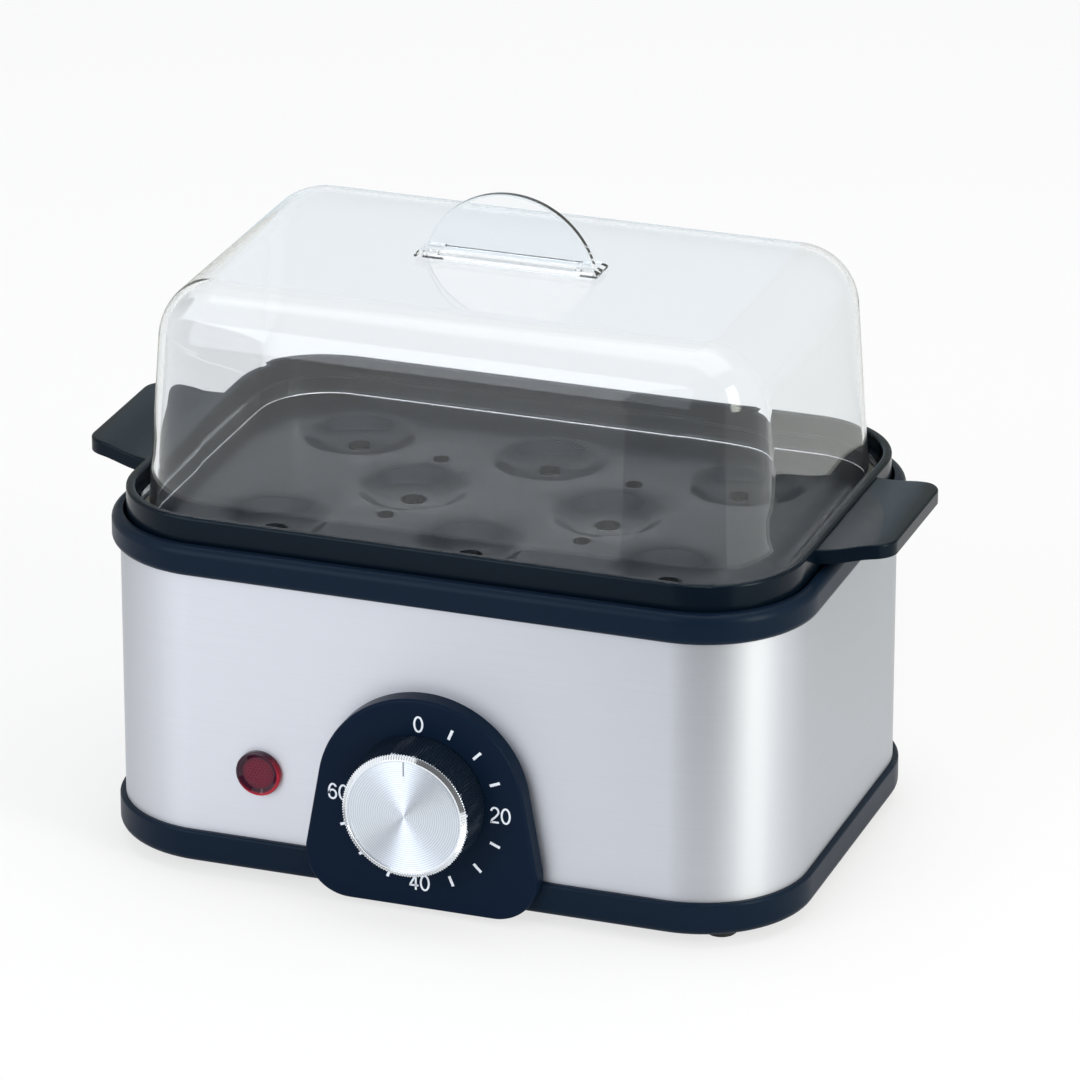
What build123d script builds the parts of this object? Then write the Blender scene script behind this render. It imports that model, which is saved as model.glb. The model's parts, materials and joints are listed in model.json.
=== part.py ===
from build123d import *
import math
import os

# Electric egg cooker: a brushed sleeve between a moulded base and a moulded rim, a water pan with its
# heater and a wind-up timer inside, a lift-out egg tray with wing handles, and a clear lift-off lid.
# Millimetres, +Z up, front towards -Y. The body's own middle is worked with here, and the whole part
# is shifted along Y when it is written, so that its origin is under the middle of its overall box.

# General fits
cut_overrun = 2.0
assembly_gap = 0.2
running_gap = 0.05
screw_gap = 0.15

# Body sleeve
body_length = 187.0
body_depth = 127.8
body_corner_radius = 28.5
sleeve_height = 71.7
sleeve_gauge = 0.6

# Base moulding
foot_height = 3.2
foot_radius = 4.6
foot_bevel = 0.8
foot_stem_radius = 2.4
foot_head_radius = 3.4
foot_head_height = 1.6
foot_inset_x = 17.5
foot_inset_y = 12.0
skirt_height = 9.1
skirt_proud = 1.6
skirt_low_round = 2.6
skirt_top_round = 0.8
base_floor = 2.2
spigot_wall = 2.0
spigot_height = 9.0
vent_slot_length = 24.0
vent_slot_width = 3.0
vent_pitch_x = 34.0
vent_pitch_y = 9.0
vent_columns = 3
vent_rows = 3
base_rib_thickness = 1.6
base_rib_height = 5.0
base_rib_offset = 24.0

# Long body screws, one in each post between base and rim
post_inset_x = 7.0
post_offset_y = 24.0
post_radius = 3.8
base_boss_height = 12.0
body_screw_radius = 1.7
body_screw_head_radius = 3.0
body_screw_head_height = 2.4
body_screw_bite = 6.5

# Rim moulding and the carrier plate inside it
rim_height = 8.3
rim_proud = 2.2
rim_top_round = 2.5
rim_low_round = 2.0
rim_spigot_height = 8.0
carrier_gap = 0.3
shelf_rise = 2.3
socket_height = 5.0
ledge_drop = 5.0
ledge_thickness = 3.0
opening_inset_x = 17.5
opening_inset_y = 14.4
opening_corner_less = 9.5

# Water pan and its seal
pan_wall = 1.5
pan_depth = 16.5
pan_lip_inset = 2.0
pan_flange_width = 6.6
pan_floor_round = 4.0
gasket_thickness = 1.5
pan_screw_radius = 1.4
pan_screw_head_radius = 2.5
pan_screw_head_height = 1.6
pan_screw_bite = 2.2
pan_screw_share = 0.27
stud_radius = 2.2
stud_height = 5.0
stud_spacing = 27.0

# Heater under the pan
element_radius = 3.3
element_length_share = 0.65
element_depth_share = 0.53
element_corner_radius = 13.0
element_tail_spacing = 30.0
element_tail_radius = 8.0
element_tail_length = 9.0
element_pin_radius = 1.1
element_pin_length = 9.0
element_collar_length = 4.0
thermostat_radius = 8.0
thermostat_flange_radius = 9.6
thermostat_flange_height = 2.0
thermostat_height = 9.0
bracket_gauge = 1.0
bracket_width = 9.0
bracket_screw_radius = 1.3
bracket_screw_head_radius = 2.4
bracket_screw_head_height = 1.5
fuse_radius = 2.2
fuse_length = 16.0
fuse_clip_gauge = 0.8
fuse_clip_length = 7.0
fuse_clip_ear = 4.0

# Timer panel on the front
dial_height = 20.6
bezel_arch_radius = 28.3
bezel_arch_drop = 0.8
bezel_half_width = 31.8
bezel_bottom_drop = 10.4
bezel_corner_radius = 12.0
bezel_proud = 5.3
bezel_edge_round = 0.9

# Timer behind the panel
shaft_radius = 3.0
shaft_flat = 0.8
shaft_flat_length = 8.0
bushing_radius = 5.0
bushing_length = 4.0
timer_plate_gauge = 1.2
timer_plate_edge = 4.5
timer_plate_height = 26.0
timer_plate_corner = 5.0
timer_case_gap = 1.3
timer_case_depth = 19.0
timer_case_bevel = 1.5
timer_shaft_reach = 12.0
timer_screw_edge = 4.8
timer_screw_radius = 1.5
timer_screw_head_radius = 2.7
timer_screw_head_height = 1.8
timer_screw_bite = 2.6
bell_radius = 16.0
bell_height = 8.0
bell_gauge = 0.9
bell_standoff = 2.0
bell_stud_radius = 2.0
tab_width = 6.3
tab_gauge = 0.8
tab_length = 8.0
tab_spacing = 14.0

# Knob
knob_gap = 0.5
knob_base_radius = 18.0
knob_top_radius = 16.9
knob_height = 11.4
knob_flutes = 144
knob_flute_depth = 0.35
knob_socket_radius = 5.4
knob_wall = 2.4
cap_radius = 17.1
cap_thickness = 1.8
cap_bevel_width = 1.0
cap_bevel_depth = 0.9
cap_face_inset = 1.7
cap_face_drop = 0.3
pointer_length = 4.2
pointer_width = 0.6
pointer_depth = 0.25

# Indicator lamp
lamp_panel_shift = 2.2
lamp_height = 19.0
lamp_lens_radius = 6.1
lamp_lens_proud = 1.7
lamp_lens_round = 0.5
lamp_lens_dish = 0.9
lamp_lens_rim = 0.6
lamp_lens_slope = 1.1
lamp_barrel_radius = 5.0
lamp_barrel_length = 7.0
lamp_holder_wall = 1.5
lamp_holder_length = 18.0
neon_radius = 2.6
neon_length = 9.0

# Mains inlet and terminals
gland_corner_gap = 13.0
gland_height = 19.0
gland_radius = 5.5
gland_flange_radius = 8.0
gland_flange_height = 1.8
gland_barrel_length = 9.0
gland_bore_radius = 3.4
gland_nut_height = 3.0
block_length = 34.0
block_depth = 17.0
block_height = 12.0
block_offset_x = 34.0
block_offset_y = 26.0
block_hole_radius = 1.8
block_ways = 3

# Egg tray
tray_inset = 1.7
tray_gap = 0.9
tray_wall = 2.5
tray_floor = 2.2
tray_depth = 9.5
tray_edge_round = 0.8
tray_lip_height = 2.0
tray_lip_wall = 1.6
tray_lip_gap = 0.6
seat_end_gap = 6.0
seat_side_gap = 2.5
seat_radius = 16.0
seat_bottom_radius = 9.0
seat_depth = 3.6
seat_hole_radius = 3.5
steam_hole_radius = 2.5
wing_reach = 19.0
wing_root_half = 27.0
wing_tip_half = 22.0
wing_tip_round = 6.0
wing_thickness = 3.8
wing_root_drop = 0.9
wing_rise = 2.1
wing_edge_round = 0.6

# Lid
lid_fit_gap = 0.7
lid_wall = 1.8
lid_height = 66.0
lid_flange_height = 5.0
lid_flange_lip = 2.4
lid_flange_round = 0.9
lid_draft_degrees = 4.2
lid_top_round = 16.5
handle_plate_length = 50.0
handle_plate_width = 9.0
handle_plate_height = 1.6
handle_plate_bevel = 1.0
handle_slot_length = 38.0
handle_slot_width = 2.2
handle_slot_offset = 2.8
handle_slot_depth = 0.7
handle_chord = 46.0
handle_rise = 17.0
handle_thickness = 2.2
handle_edge_round = 0.5

# Levels, worked out from the sizes above
skirt_low = foot_height
sleeve_low = skirt_low + skirt_height
sleeve_high = sleeve_low + sleeve_height
rim_high = sleeve_high + rim_height
ledge_high = rim_high - ledge_drop
ledge_low = ledge_high - ledge_thickness
floor_high = skirt_low + base_floor
base_boss_high = floor_high + base_boss_height
socket_low = ledge_low - socket_height
shelf_z = sleeve_high + shelf_rise
flange_high = ledge_low - gasket_thickness
flange_low = flange_high - pan_wall
pan_floor_low = flange_high - pan_depth - pan_wall
pan_floor_high = pan_floor_low + pan_wall
tray_floor_high = ledge_high + tray_floor
tray_high = tray_floor_high + tray_depth
lid_high = tray_floor_high + lid_height
dial_z = sleeve_low + dial_height
lamp_z = sleeve_low + lamp_height
gland_z = sleeve_low + gland_height

# Plan positions, worked out from the sizes above
front_y = -body_depth / 2
straight_half = body_length / 2 - body_corner_radius
post_x = body_length / 2 - post_inset_x
foot_x = body_length / 2 - foot_inset_x
foot_y = body_depth / 2 - foot_inset_y
spigot_offset = sleeve_gauge + assembly_gap
cavity_inset = spigot_offset + spigot_wall
rim_opening_length = body_length - 2 * opening_inset_x
rim_opening_depth = body_depth - 2 * opening_inset_y
rim_opening_radius = body_corner_radius - opening_corner_less
pan_length = rim_opening_length - 2 * pan_lip_inset
pan_width = rim_opening_depth - 2 * pan_lip_inset
pan_radius = rim_opening_radius - pan_lip_inset
element_loop_length = element_length_share * pan_length
element_loop_depth = element_depth_share * pan_width
bracket_length = stud_spacing + 2 * stud_radius + bracket_width / 2
fuse_offset_x = (bracket_length / 2 + element_loop_length / 2 - element_radius) / 2
lamp_offset_x = (bezel_half_width + straight_half) / 2 - lamp_panel_shift
gland_offset_x = straight_half - gland_corner_gap
seat_pitch_x = rim_opening_length / 2 - seat_radius - seat_end_gap
seat_pitch_y = rim_opening_depth / 2 - seat_radius - seat_side_gap
timer_screw_spacing = 2 * (bezel_arch_radius - timer_screw_edge)
timer_plate_length = timer_screw_spacing + 2 * timer_plate_edge
timer_case_radius = timer_screw_spacing / 2 - timer_screw_head_radius - timer_case_gap
knob_low = bezel_proud + knob_gap
cap_low = knob_low + knob_height - cap_thickness
knob_front = knob_low + knob_height
footprint_shift = (knob_front - rim_proud) / 2

ENDS = (-1, 1)
CORNERS = [(x, y) for x in ENDS for y in ENDS]
STANDING = (Align.CENTER, Align.CENTER, Align.MIN)


def slab(length, depth, radius, low, high):
    """Upright plate with rounded corners, centred on the body, between two levels."""
    return Pos(0, 0, low) * extrude(RectangleRounded(length, depth, radius), amount=high - low)


def body_slab(grow, low, high):
    """Plate of the body's own outline, grown outwards by a distance."""
    return slab(body_length + 2 * grow, body_depth + 2 * grow, body_corner_radius + grow, low, high)


def post(x, y, radius, low, high):
    """Upright cylinder between two levels."""
    return Pos(x, y, low) * Cylinder(radius, high - low, align=STANDING)


def front_plane(x, z, out):
    """Plane parallel to the sleeve's front, facing the user, a distance out from it."""
    return Plane(origin=(x, front_y - out, z), x_dir=(1, 0, 0), z_dir=(0, -1, 0))


def front_disc(x, z, radius, low, high):
    """Cylinder square to the front between two distances out from the sleeve."""
    return front_plane(x, z, low) * Cylinder(radius, high - low, align=STANDING)


def outer_edges(shape, level):
    """Edges of the outer outline of the face that lies at a level."""
    faces = shape.faces().filter_by(Axis.Z)
    face = sorted(faces, key=lambda f: (abs(f.center().Z - level), -f.outer_wire().length))[0]
    return face.outer_wire().edges()


def screw(radius, length, head_radius, head_height):
    """Cheese-head screw with its head's underside at zero and its shank along +Z."""
    head = Pos(0, 0, -head_height) * Cylinder(
        head_radius, head_height, align=STANDING
    )
    return head + Cylinder(radius, length, align=STANDING)


def base_tray():
    """Base moulding: skirt, vented and ribbed floor, screw bosses, spigot notched for the timer."""
    skirt = body_slab(skirt_proud, skirt_low, sleeve_low)
    skirt = fillet(outer_edges(skirt, sleeve_low), skirt_top_round)
    skirt = fillet(outer_edges(skirt, skirt_low), skirt_low_round)
    spigot = body_slab(-spigot_offset, sleeve_low, sleeve_low + spigot_height)
    shell = skirt + spigot - body_slab(-cavity_inset, floor_high, sleeve_low + spigot_height + cut_overrun)
    rib_length = body_length - 2 * cavity_inset
    for side in ENDS:
        shell += Pos(0, side * base_rib_offset, floor_high) * Box(
            rib_length, base_rib_thickness, base_rib_height, align=STANDING
        )
    for x, y in CORNERS:
        shell += post(x * post_x, y * post_offset_y, post_radius, floor_high, base_boss_high)
    vents = GridLocations(vent_pitch_x, vent_pitch_y, vent_columns, vent_rows)
    slot = extrude(SlotOverall(vent_slot_length, vent_slot_width), amount=base_floor + 2 * cut_overrun)
    for place in vents:
        shell -= Pos(0, 0, skirt_low - cut_overrun) * place * slot
    for x, y in CORNERS:
        spot = (x * post_x, y * post_offset_y)
        recess_high = skirt_low + body_screw_head_height + assembly_gap
        shell -= post(*spot, body_screw_head_radius + screw_gap, skirt_low - cut_overrun, recess_high)
        shell -= post(*spot, body_screw_radius + screw_gap, skirt_low, base_boss_high + cut_overrun)
        shell -= post(x * foot_x, y * foot_y, foot_stem_radius + running_gap, skirt_low - cut_overrun,
                      floor_high + cut_overrun)
    notch_length = timer_plate_length + 2 * assembly_gap
    return shell - Pos(0, front_y + spigot_offset, sleeve_low) * Box(
        notch_length, 2 * spigot_wall, 2 * spigot_height, align=STANDING
    )


def feet():
    """Four rubber feet, each with a stem through the floor and a head above it."""
    pads = []
    for x, y in CORNERS:
        pad = post(x * foot_x, y * foot_y, foot_radius, 0, skirt_low)
        pad = chamfer(outer_edges(pad, 0), foot_bevel)
        pad += post(x * foot_x, y * foot_y, foot_stem_radius, skirt_low, floor_high)
        pad += post(x * foot_x, y * foot_y, foot_head_radius, floor_high, floor_high + foot_head_height)
        pads.append(pad)
    return pads


def body_screws():
    """Four long screws through base and tie posts into the carrier's sockets."""
    seat = skirt_low + body_screw_head_height + assembly_gap
    length = socket_low + body_screw_bite - seat
    one = screw(body_screw_radius, length, body_screw_head_radius, body_screw_head_height)
    return [Pos(x * post_x, y * post_offset_y, seat) * one for x, y in CORNERS]


def tie_posts():
    """Four tube posts between the base's bosses and the carrier's sockets."""
    tubes = []
    for x, y in CORNERS:
        tube = post(x * post_x, y * post_offset_y, post_radius, base_boss_high, socket_low)
        tubes.append(tube - post(x * post_x, y * post_offset_y, body_screw_radius + screw_gap,
                                 base_boss_high - cut_overrun, socket_low + cut_overrun))
    return tubes


def steel_sleeve():
    """Brushed sleeve, open above and below, pierced for the timer, the lamp and the mains inlet."""
    wall = body_slab(0, sleeve_low, sleeve_high)
    wall -= body_slab(-sleeve_gauge, sleeve_low - cut_overrun, sleeve_high + cut_overrun)
    wall -= front_disc(0, dial_z, bushing_radius + assembly_gap, -cut_overrun, cut_overrun)
    for side in ENDS:
        hole = timer_screw_radius + screw_gap
        wall -= front_disc(side * timer_screw_spacing / 2, dial_z, hole, -cut_overrun, cut_overrun)
    wall -= front_disc(-lamp_offset_x, lamp_z, lamp_barrel_radius + assembly_gap, -cut_overrun, cut_overrun)
    inlet = Cylinder(gland_radius + assembly_gap, 2 * cut_overrun)
    return wall - Pos(gland_offset_x, -front_y, gland_z) * Rot(90, 0, 0) * inlet


def top_rim():
    """Rim moulding: rounded bead round the tray's recess, and a spigot inside the sleeve."""
    bead = body_slab(rim_proud, sleeve_high, rim_high)
    bead = fillet(outer_edges(bead, rim_high), rim_top_round)
    bead = fillet(outer_edges(bead, sleeve_high), rim_low_round)
    spigot = body_slab(-spigot_offset, sleeve_high - rim_spigot_height, sleeve_high)
    hollow = body_slab(-cavity_inset, sleeve_high - rim_spigot_height - cut_overrun, rim_high)
    return bead + spigot - hollow - body_slab(tray_gap - tray_inset, shelf_z, rim_high + cut_overrun)


def pan_carrier():
    """Carrier plate on the rim's inner shelf: ledge for the tray, and sockets for the long screws."""
    plate = body_slab(tray_gap - tray_inset - carrier_gap, shelf_z, ledge_high)
    plate += body_slab(-cavity_inset - carrier_gap, ledge_low, shelf_z)
    plate -= slab(rim_opening_length, rim_opening_depth, rim_opening_radius, ledge_low - cut_overrun,
                  ledge_high + cut_overrun)
    for x, y in CORNERS:
        plate += post(x * post_x, y * post_offset_y, post_radius, socket_low, ledge_low)
        pilot_high = socket_low + body_screw_bite + assembly_gap
        pilot_radius = body_screw_radius + running_gap
        plate -= post(x * post_x, y * post_offset_y, pilot_radius, socket_low - cut_overrun, pilot_high)
    for x, y in pan_screw_spots():
        plate -= post(x, y, pan_screw_radius + running_gap, ledge_low - cut_overrun,
                      ledge_low + pan_screw_bite + assembly_gap)
    return plate


def pan_screw_spots():
    """Places of the screws that hold the pan's flange, on the middle line of the flange."""
    along = pan_length / 2 + pan_wall + pan_flange_width / 2
    across = pan_width / 2 + pan_wall + pan_flange_width / 2
    ends = [(side * along, 0) for side in ENDS]
    return ends + [(x * pan_screw_share * pan_length, y * across) for x, y in CORNERS]


def flange_slab(grow, low, high):
    """Plate of the pan's inner outline, grown outwards by a distance."""
    return slab(pan_length + 2 * grow, pan_width + 2 * grow, pan_radius + grow, low, high)


def heating_pan():
    """Pressed water pan with a flange that seals under the carrier, and studs for the thermostat."""
    well = flange_slab(pan_wall, pan_floor_low, flange_high)
    well = fillet(outer_edges(well, pan_floor_low), pan_floor_round + pan_wall)
    flange = flange_slab(pan_wall + pan_flange_width, flange_low, flange_high)
    inside = flange_slab(0, pan_floor_high, flange_high + cut_overrun)
    inside = fillet(outer_edges(inside, pan_floor_high), pan_floor_round)
    pan = well + flange - inside
    for x, y in pan_screw_spots():
        pan -= post(x, y, pan_screw_radius + screw_gap, flange_low - cut_overrun, flange_high + cut_overrun)
    for side in ENDS:
        spot = side * stud_spacing / 2
        pan += post(spot, 0, stud_radius, pan_floor_low - stud_height, pan_floor_low)
        pan -= post(spot, 0, bracket_screw_radius + running_gap, pan_floor_low - stud_height - cut_overrun,
                    pan_floor_low - assembly_gap)
    return pan


def pan_gasket():
    """Seal between the pan's flange and the carrier plate."""
    seal = flange_slab(pan_wall + pan_flange_width, flange_high, ledge_low)
    seal -= flange_slab(pan_lip_inset, flange_high - cut_overrun, ledge_low + cut_overrun)
    for x, y in pan_screw_spots():
        seal -= post(x, y, pan_screw_radius + screw_gap, flange_high - cut_overrun, ledge_low + cut_overrun)
    return seal


def pan_screws():
    """Screws from below that press the pan's flange and its seal up to the carrier."""
    length = pan_wall + gasket_thickness + pan_screw_bite
    one = screw(pan_screw_radius, length, pan_screw_head_radius, pan_screw_head_height)
    return [Pos(x, y, flange_low) * one for x, y in pan_screw_spots()]


def element_z():
    """Level of the heater tube's middle line."""
    return pan_floor_low - assembly_gap - element_radius


def heating_element():
    """Sheathed heater tube: a rounded loop under the pan, open at the back, with two straight tails."""
    half_x = element_loop_length / 2
    half_y = element_loop_depth / 2
    tail_x = element_tail_spacing / 2
    tail_y = half_y + element_tail_radius + element_tail_length
    corners = [(tail_x, tail_y), (tail_x, half_y), (half_x, half_y), (half_x, -half_y)]
    corners += [(-x, y) for x, y in reversed(corners)]
    points = [(x, y, element_z()) for x, y in corners]
    bend = element_corner_radius
    tail = element_tail_radius
    path = FilletPolyline(*points, radius=[tail, bend, bend, bend, bend, tail])
    start = Plane(origin=path @ 0, z_dir=path % 0)
    return sweep(start * Circle(element_radius), path=path)


def element_ends():
    """Places of the two open ends of the heater tube."""
    tail_y = element_loop_depth / 2 + element_tail_radius + element_tail_length
    return [(side * element_tail_spacing / 2, tail_y, element_z()) for side in ENDS]


def along_y(spot, radius, length):
    """Cylinder that runs backwards from a spot."""
    return Pos(*spot) * Rot(-90, 0, 0) * Cylinder(radius, length, align=STANDING)


def element_pins():
    """Connection pins at the heater's two ends."""
    return [along_y(spot, element_pin_radius, element_pin_length) for spot in element_ends()]


def element_collars():
    """Ceramic collars round the connection pins."""
    collars = []
    for spot in element_ends():
        collar = along_y(spot, element_radius, element_collar_length)
        collars.append(collar - along_y(spot, element_pin_radius + running_gap, element_collar_length))
    return collars


def thermostat_low():
    """Level of the thermostat's lower end."""
    return pan_floor_low - thermostat_height


def thermostat():
    """Snap-disc thermostat against the pan, with a flange that its bracket holds and two tabs."""
    flange = post(0, 0, thermostat_flange_radius, pan_floor_low - thermostat_flange_height, pan_floor_low)
    body = flange + post(0, 0, thermostat_radius, thermostat_low(), pan_floor_low)
    blade = Box(tab_width, tab_gauge, tab_length, align=(Align.CENTER, Align.CENTER, Align.MAX))
    for side in ENDS:
        body += Pos(0, side * thermostat_radius / 2, thermostat_low()) * blade
    return body


def thermostat_bracket():
    """Spring strap across the studs that presses the thermostat's flange to the pan."""
    strap_high = pan_floor_low - stud_height
    strap_low = strap_high - bracket_gauge
    strap = Pos(0, 0, strap_low) * extrude(SlotOverall(bracket_length, bracket_width), amount=bracket_gauge)
    strap += post(0, 0, thermostat_flange_radius, strap_low, pan_floor_low - thermostat_flange_height)
    strap -= post(0, 0, thermostat_radius + assembly_gap, strap_low - cut_overrun, pan_floor_low)
    for side in ENDS:
        strap -= post(side * stud_spacing / 2, 0, bracket_screw_radius + screw_gap, strap_low - cut_overrun,
                      strap_high + cut_overrun)
    return strap


def bracket_screws():
    """Two screws that hold the bracket to the pan's studs."""
    seat = pan_floor_low - stud_height - bracket_gauge
    length = bracket_gauge + stud_height - 2 * assembly_gap
    one = screw(bracket_screw_radius, length, bracket_screw_head_radius, bracket_screw_head_height)
    return [Pos(side * stud_spacing / 2, 0, seat) * one for side in ENDS]


def thermal_fuse():
    """One-shot thermal fuse that lies along Y against the pan."""
    spot = (fuse_offset_x, -fuse_length / 2, pan_floor_low - fuse_radius - assembly_gap)
    return along_y(spot, fuse_radius, fuse_length)


def fuse_clip():
    """Bent clip that holds the thermal fuse to the pan."""
    inner = fuse_radius + assembly_gap
    outer = inner + fuse_clip_gauge
    z = pan_floor_low - inner
    spot = (fuse_offset_x, -fuse_clip_length / 2, z)
    saddle = along_y(spot, outer, fuse_clip_length)
    saddle += Pos(fuse_offset_x, 0, z) * Box(
        2 * outer, fuse_clip_length, inner, align=STANDING
    )
    saddle += Pos(fuse_offset_x, 0, pan_floor_low) * Box(
        2 * (outer + fuse_clip_ear), fuse_clip_length, fuse_clip_gauge,
        align=(Align.CENTER, Align.CENTER, Align.MAX)
    )
    saddle -= along_y((fuse_offset_x, -fuse_clip_length, z), inner, 2 * fuse_clip_length)
    return saddle - Pos(fuse_offset_x, 0, z) * Box(
        2 * inner, 2 * fuse_clip_length, inner, align=STANDING
    ) - Pos(fuse_offset_x, 0, pan_floor_low) * Box(
        2 * outer, 2 * fuse_clip_length, outer, align=STANDING
    )


def bezel_outline():
    """Tombstone outline of the timer panel, measured from the dial's axis."""
    arch = Pos(0, -bezel_arch_drop) * Circle(bezel_arch_radius)
    corner_x = bezel_half_width - bezel_corner_radius
    corner_y = bezel_corner_radius - bezel_bottom_drop - dial_height
    corners = [Pos(side * corner_x, corner_y) * Circle(bezel_corner_radius) for side in ENDS]
    rounds = arch.edges() + corners[0].edges() + corners[1].edges()
    return make_hull(rounds)


def timer_bezel():
    """Timer panel: arched front plate that laps over the skirt, with the bushing's bore and screw holes."""
    plate = front_plane(0, dial_z, 0) * extrude(bezel_outline(), amount=bezel_proud)
    front_face = plate.faces().sort_by(Axis.Y)[0]
    plate = fillet(front_face.outer_wire().edges(), bezel_edge_round)
    lap = skirt_proud + assembly_gap
    plate -= Pos(0, front_y - lap, sleeve_low + assembly_gap) * Box(
        body_length, 2 * lap, 2 * skirt_height + 2 * foot_height, align=(Align.CENTER, Align.MIN, Align.MAX)
    )
    plate -= front_disc(0, dial_z, bushing_radius + assembly_gap, -cut_overrun,
                        bushing_length + assembly_gap)
    plate -= front_disc(0, dial_z, shaft_radius + assembly_gap, -cut_overrun, bezel_proud + cut_overrun)
    for side in ENDS:
        hole = timer_screw_radius + running_gap
        plate -= front_disc(side * timer_screw_spacing / 2, dial_z, hole, -cut_overrun,
                            timer_screw_bite + assembly_gap)
    return plate


def timer_plate():
    """Steel plate of the timer, against the sleeve's inside, with the bushing that carries the shaft."""
    back = case_front()
    outline = RectangleRounded(timer_plate_length, timer_plate_height, timer_plate_corner)
    plate = front_plane(0, dial_z, back) * extrude(outline, amount=timer_plate_gauge)
    plate += front_disc(0, dial_z, bushing_radius, back, bushing_length)
    plate -= front_disc(0, dial_z, shaft_radius + running_gap, back - cut_overrun,
                        bushing_length + cut_overrun)
    for side in ENDS:
        hole = timer_screw_radius + screw_gap
        plate -= front_disc(side * timer_screw_spacing / 2, dial_z, hole, back - cut_overrun, 0)
    return plate


def case_front():
    """Distance out from the sleeve of the timer case's front face."""
    return -(sleeve_gauge + timer_plate_gauge)


def timer_case():
    """Timer case behind its plate, bored for the shaft, with the stud that carries the bell."""
    front = case_front()
    back = front - timer_case_depth
    case = front_disc(0, dial_z, timer_case_radius, back, front)
    case = chamfer(case.edges().filter_by(GeomType.CIRCLE), timer_case_bevel)
    case -= front_disc(0, dial_z, shaft_radius + assembly_gap, front - timer_shaft_reach - assembly_gap,
                       front + cut_overrun)
    return case + front_disc(0, dial_z, bell_stud_radius, back - bell_standoff - bell_height, back)


def timer_bell():
    """Pressed bell dome on the stud behind the timer case, open towards the case."""
    mouth = case_front() - timer_case_depth - bell_standoff
    sphere = (bell_radius ** 2 + bell_height ** 2) / (2 * bell_height)
    outer = Plane.XY * Pos(0, 0, bell_height - sphere) * Sphere(sphere)
    inner = Plane.XY * Pos(0, 0, bell_height - sphere) * Sphere(sphere - bell_gauge)
    keep = Cylinder(bell_radius, bell_height, align=STANDING)
    dome = (outer & keep) - inner
    dome -= Cylinder(bell_stud_radius + running_gap, 2 * (bell_height + cut_overrun))
    inward = Plane(origin=(0, front_y - mouth, dial_z), x_dir=(1, 0, 0), z_dir=(0, 1, 0))
    return inward * dome


def timer_tabs():
    """Two blade terminals on top of the timer case."""
    middle = case_front() - timer_case_depth / 2
    offset = tab_spacing / 2
    top = math.sqrt(timer_case_radius ** 2 - (offset + tab_width / 2) ** 2)
    blade = Box(tab_width, tab_gauge, tab_length, align=STANDING)
    case = timer_case()
    return [Pos(side * offset, front_y - middle, dial_z + top) * blade - case for side in ENDS]


def timer_screws():
    """Two screws from inside that clamp timer, sleeve and panel together."""
    back = case_front()
    length = timer_screw_bite - back
    one = screw(timer_screw_radius, length, timer_screw_head_radius, timer_screw_head_height)
    return [front_plane(side * timer_screw_spacing / 2, dial_z, back) * one for side in ENDS]


def shaft_end():
    """Distance out from the sleeve of the timer shaft's outer end."""
    return cap_low - knob_wall / 2


def timer_shaft():
    """Timer shaft with a flat on its outer end for the knob."""
    back = case_front() - timer_shaft_reach
    shaft = front_disc(0, dial_z, shaft_radius, back, shaft_end())
    cut = front_plane(0, dial_z + shaft_radius - shaft_flat, shaft_end() - shaft_flat_length) * Box(
        2 * shaft_radius, shaft_radius, shaft_flat_length + cut_overrun,
        align=(Align.CENTER, Align.MIN, Align.MIN)
    )
    return shaft - cut


def fluted_outline(radius):
    """Outline of a knob section with straight flutes, as a polygon of crests and roots."""
    points = []
    for step in range(2 * knob_flutes):
        reach = radius - knob_flute_depth * (step % 2)
        angle = math.pi * step / knob_flutes
        points.append((reach * math.cos(angle), reach * math.sin(angle)))
    return make_face(Polyline(*points, close=True))


def knob_body():
    """Fluted, tapered knob skirt with a hub whose socket takes the shaft and its flat."""
    base = front_plane(0, dial_z, knob_low) * fluted_outline(knob_base_radius)
    crown = front_plane(0, dial_z, cap_low) * fluted_outline(knob_top_radius)
    knob = loft([base, crown], ruled=True)
    hollow = front_disc(0, dial_z, knob_top_radius - knob_wall, knob_low - cut_overrun, cap_low - knob_wall)
    hub = front_disc(0, dial_z, knob_socket_radius, knob_low, cap_low - knob_wall)
    knob = knob - (hollow - hub)
    socket = front_disc(0, dial_z, shaft_radius + running_gap, knob_low - cut_overrun, shaft_end())
    flat_low = dial_z + shaft_radius - shaft_flat + running_gap
    flat = front_plane(0, flat_low, shaft_end() - shaft_flat_length + running_gap) * Box(
        2 * knob_socket_radius, knob_socket_radius, shaft_flat_length,
        align=(Align.CENTER, Align.MIN, Align.MIN)
    )
    return knob - (socket - flat)


def knob_cap():
    """Spun cap on the knob: serrated edge, polished bevel, sunk face and a pointer groove at the top."""
    front = cap_low + cap_thickness
    bevel_low = front - cap_bevel_depth
    edge = extrude(fluted_outline(cap_radius), amount=cap_thickness - cap_bevel_depth)
    cap = front_plane(0, dial_z, cap_low) * edge
    root = cap_radius - knob_flute_depth
    cap += front_plane(0, dial_z, bevel_low) * Cone(root, root - cap_bevel_width, cap_bevel_depth,
                                                    align=STANDING)
    face_radius = cap_radius - cap_face_inset
    cap -= front_disc(0, dial_z, face_radius, front - cap_face_drop, front + cut_overrun)
    groove = front_plane(0, dial_z + face_radius, front - cap_face_drop - pointer_depth) * Box(
        pointer_width, pointer_length, cap_face_drop + cut_overrun,
        align=(Align.CENTER, Align.MAX, Align.MIN)
    )
    return cap - groove


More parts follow.
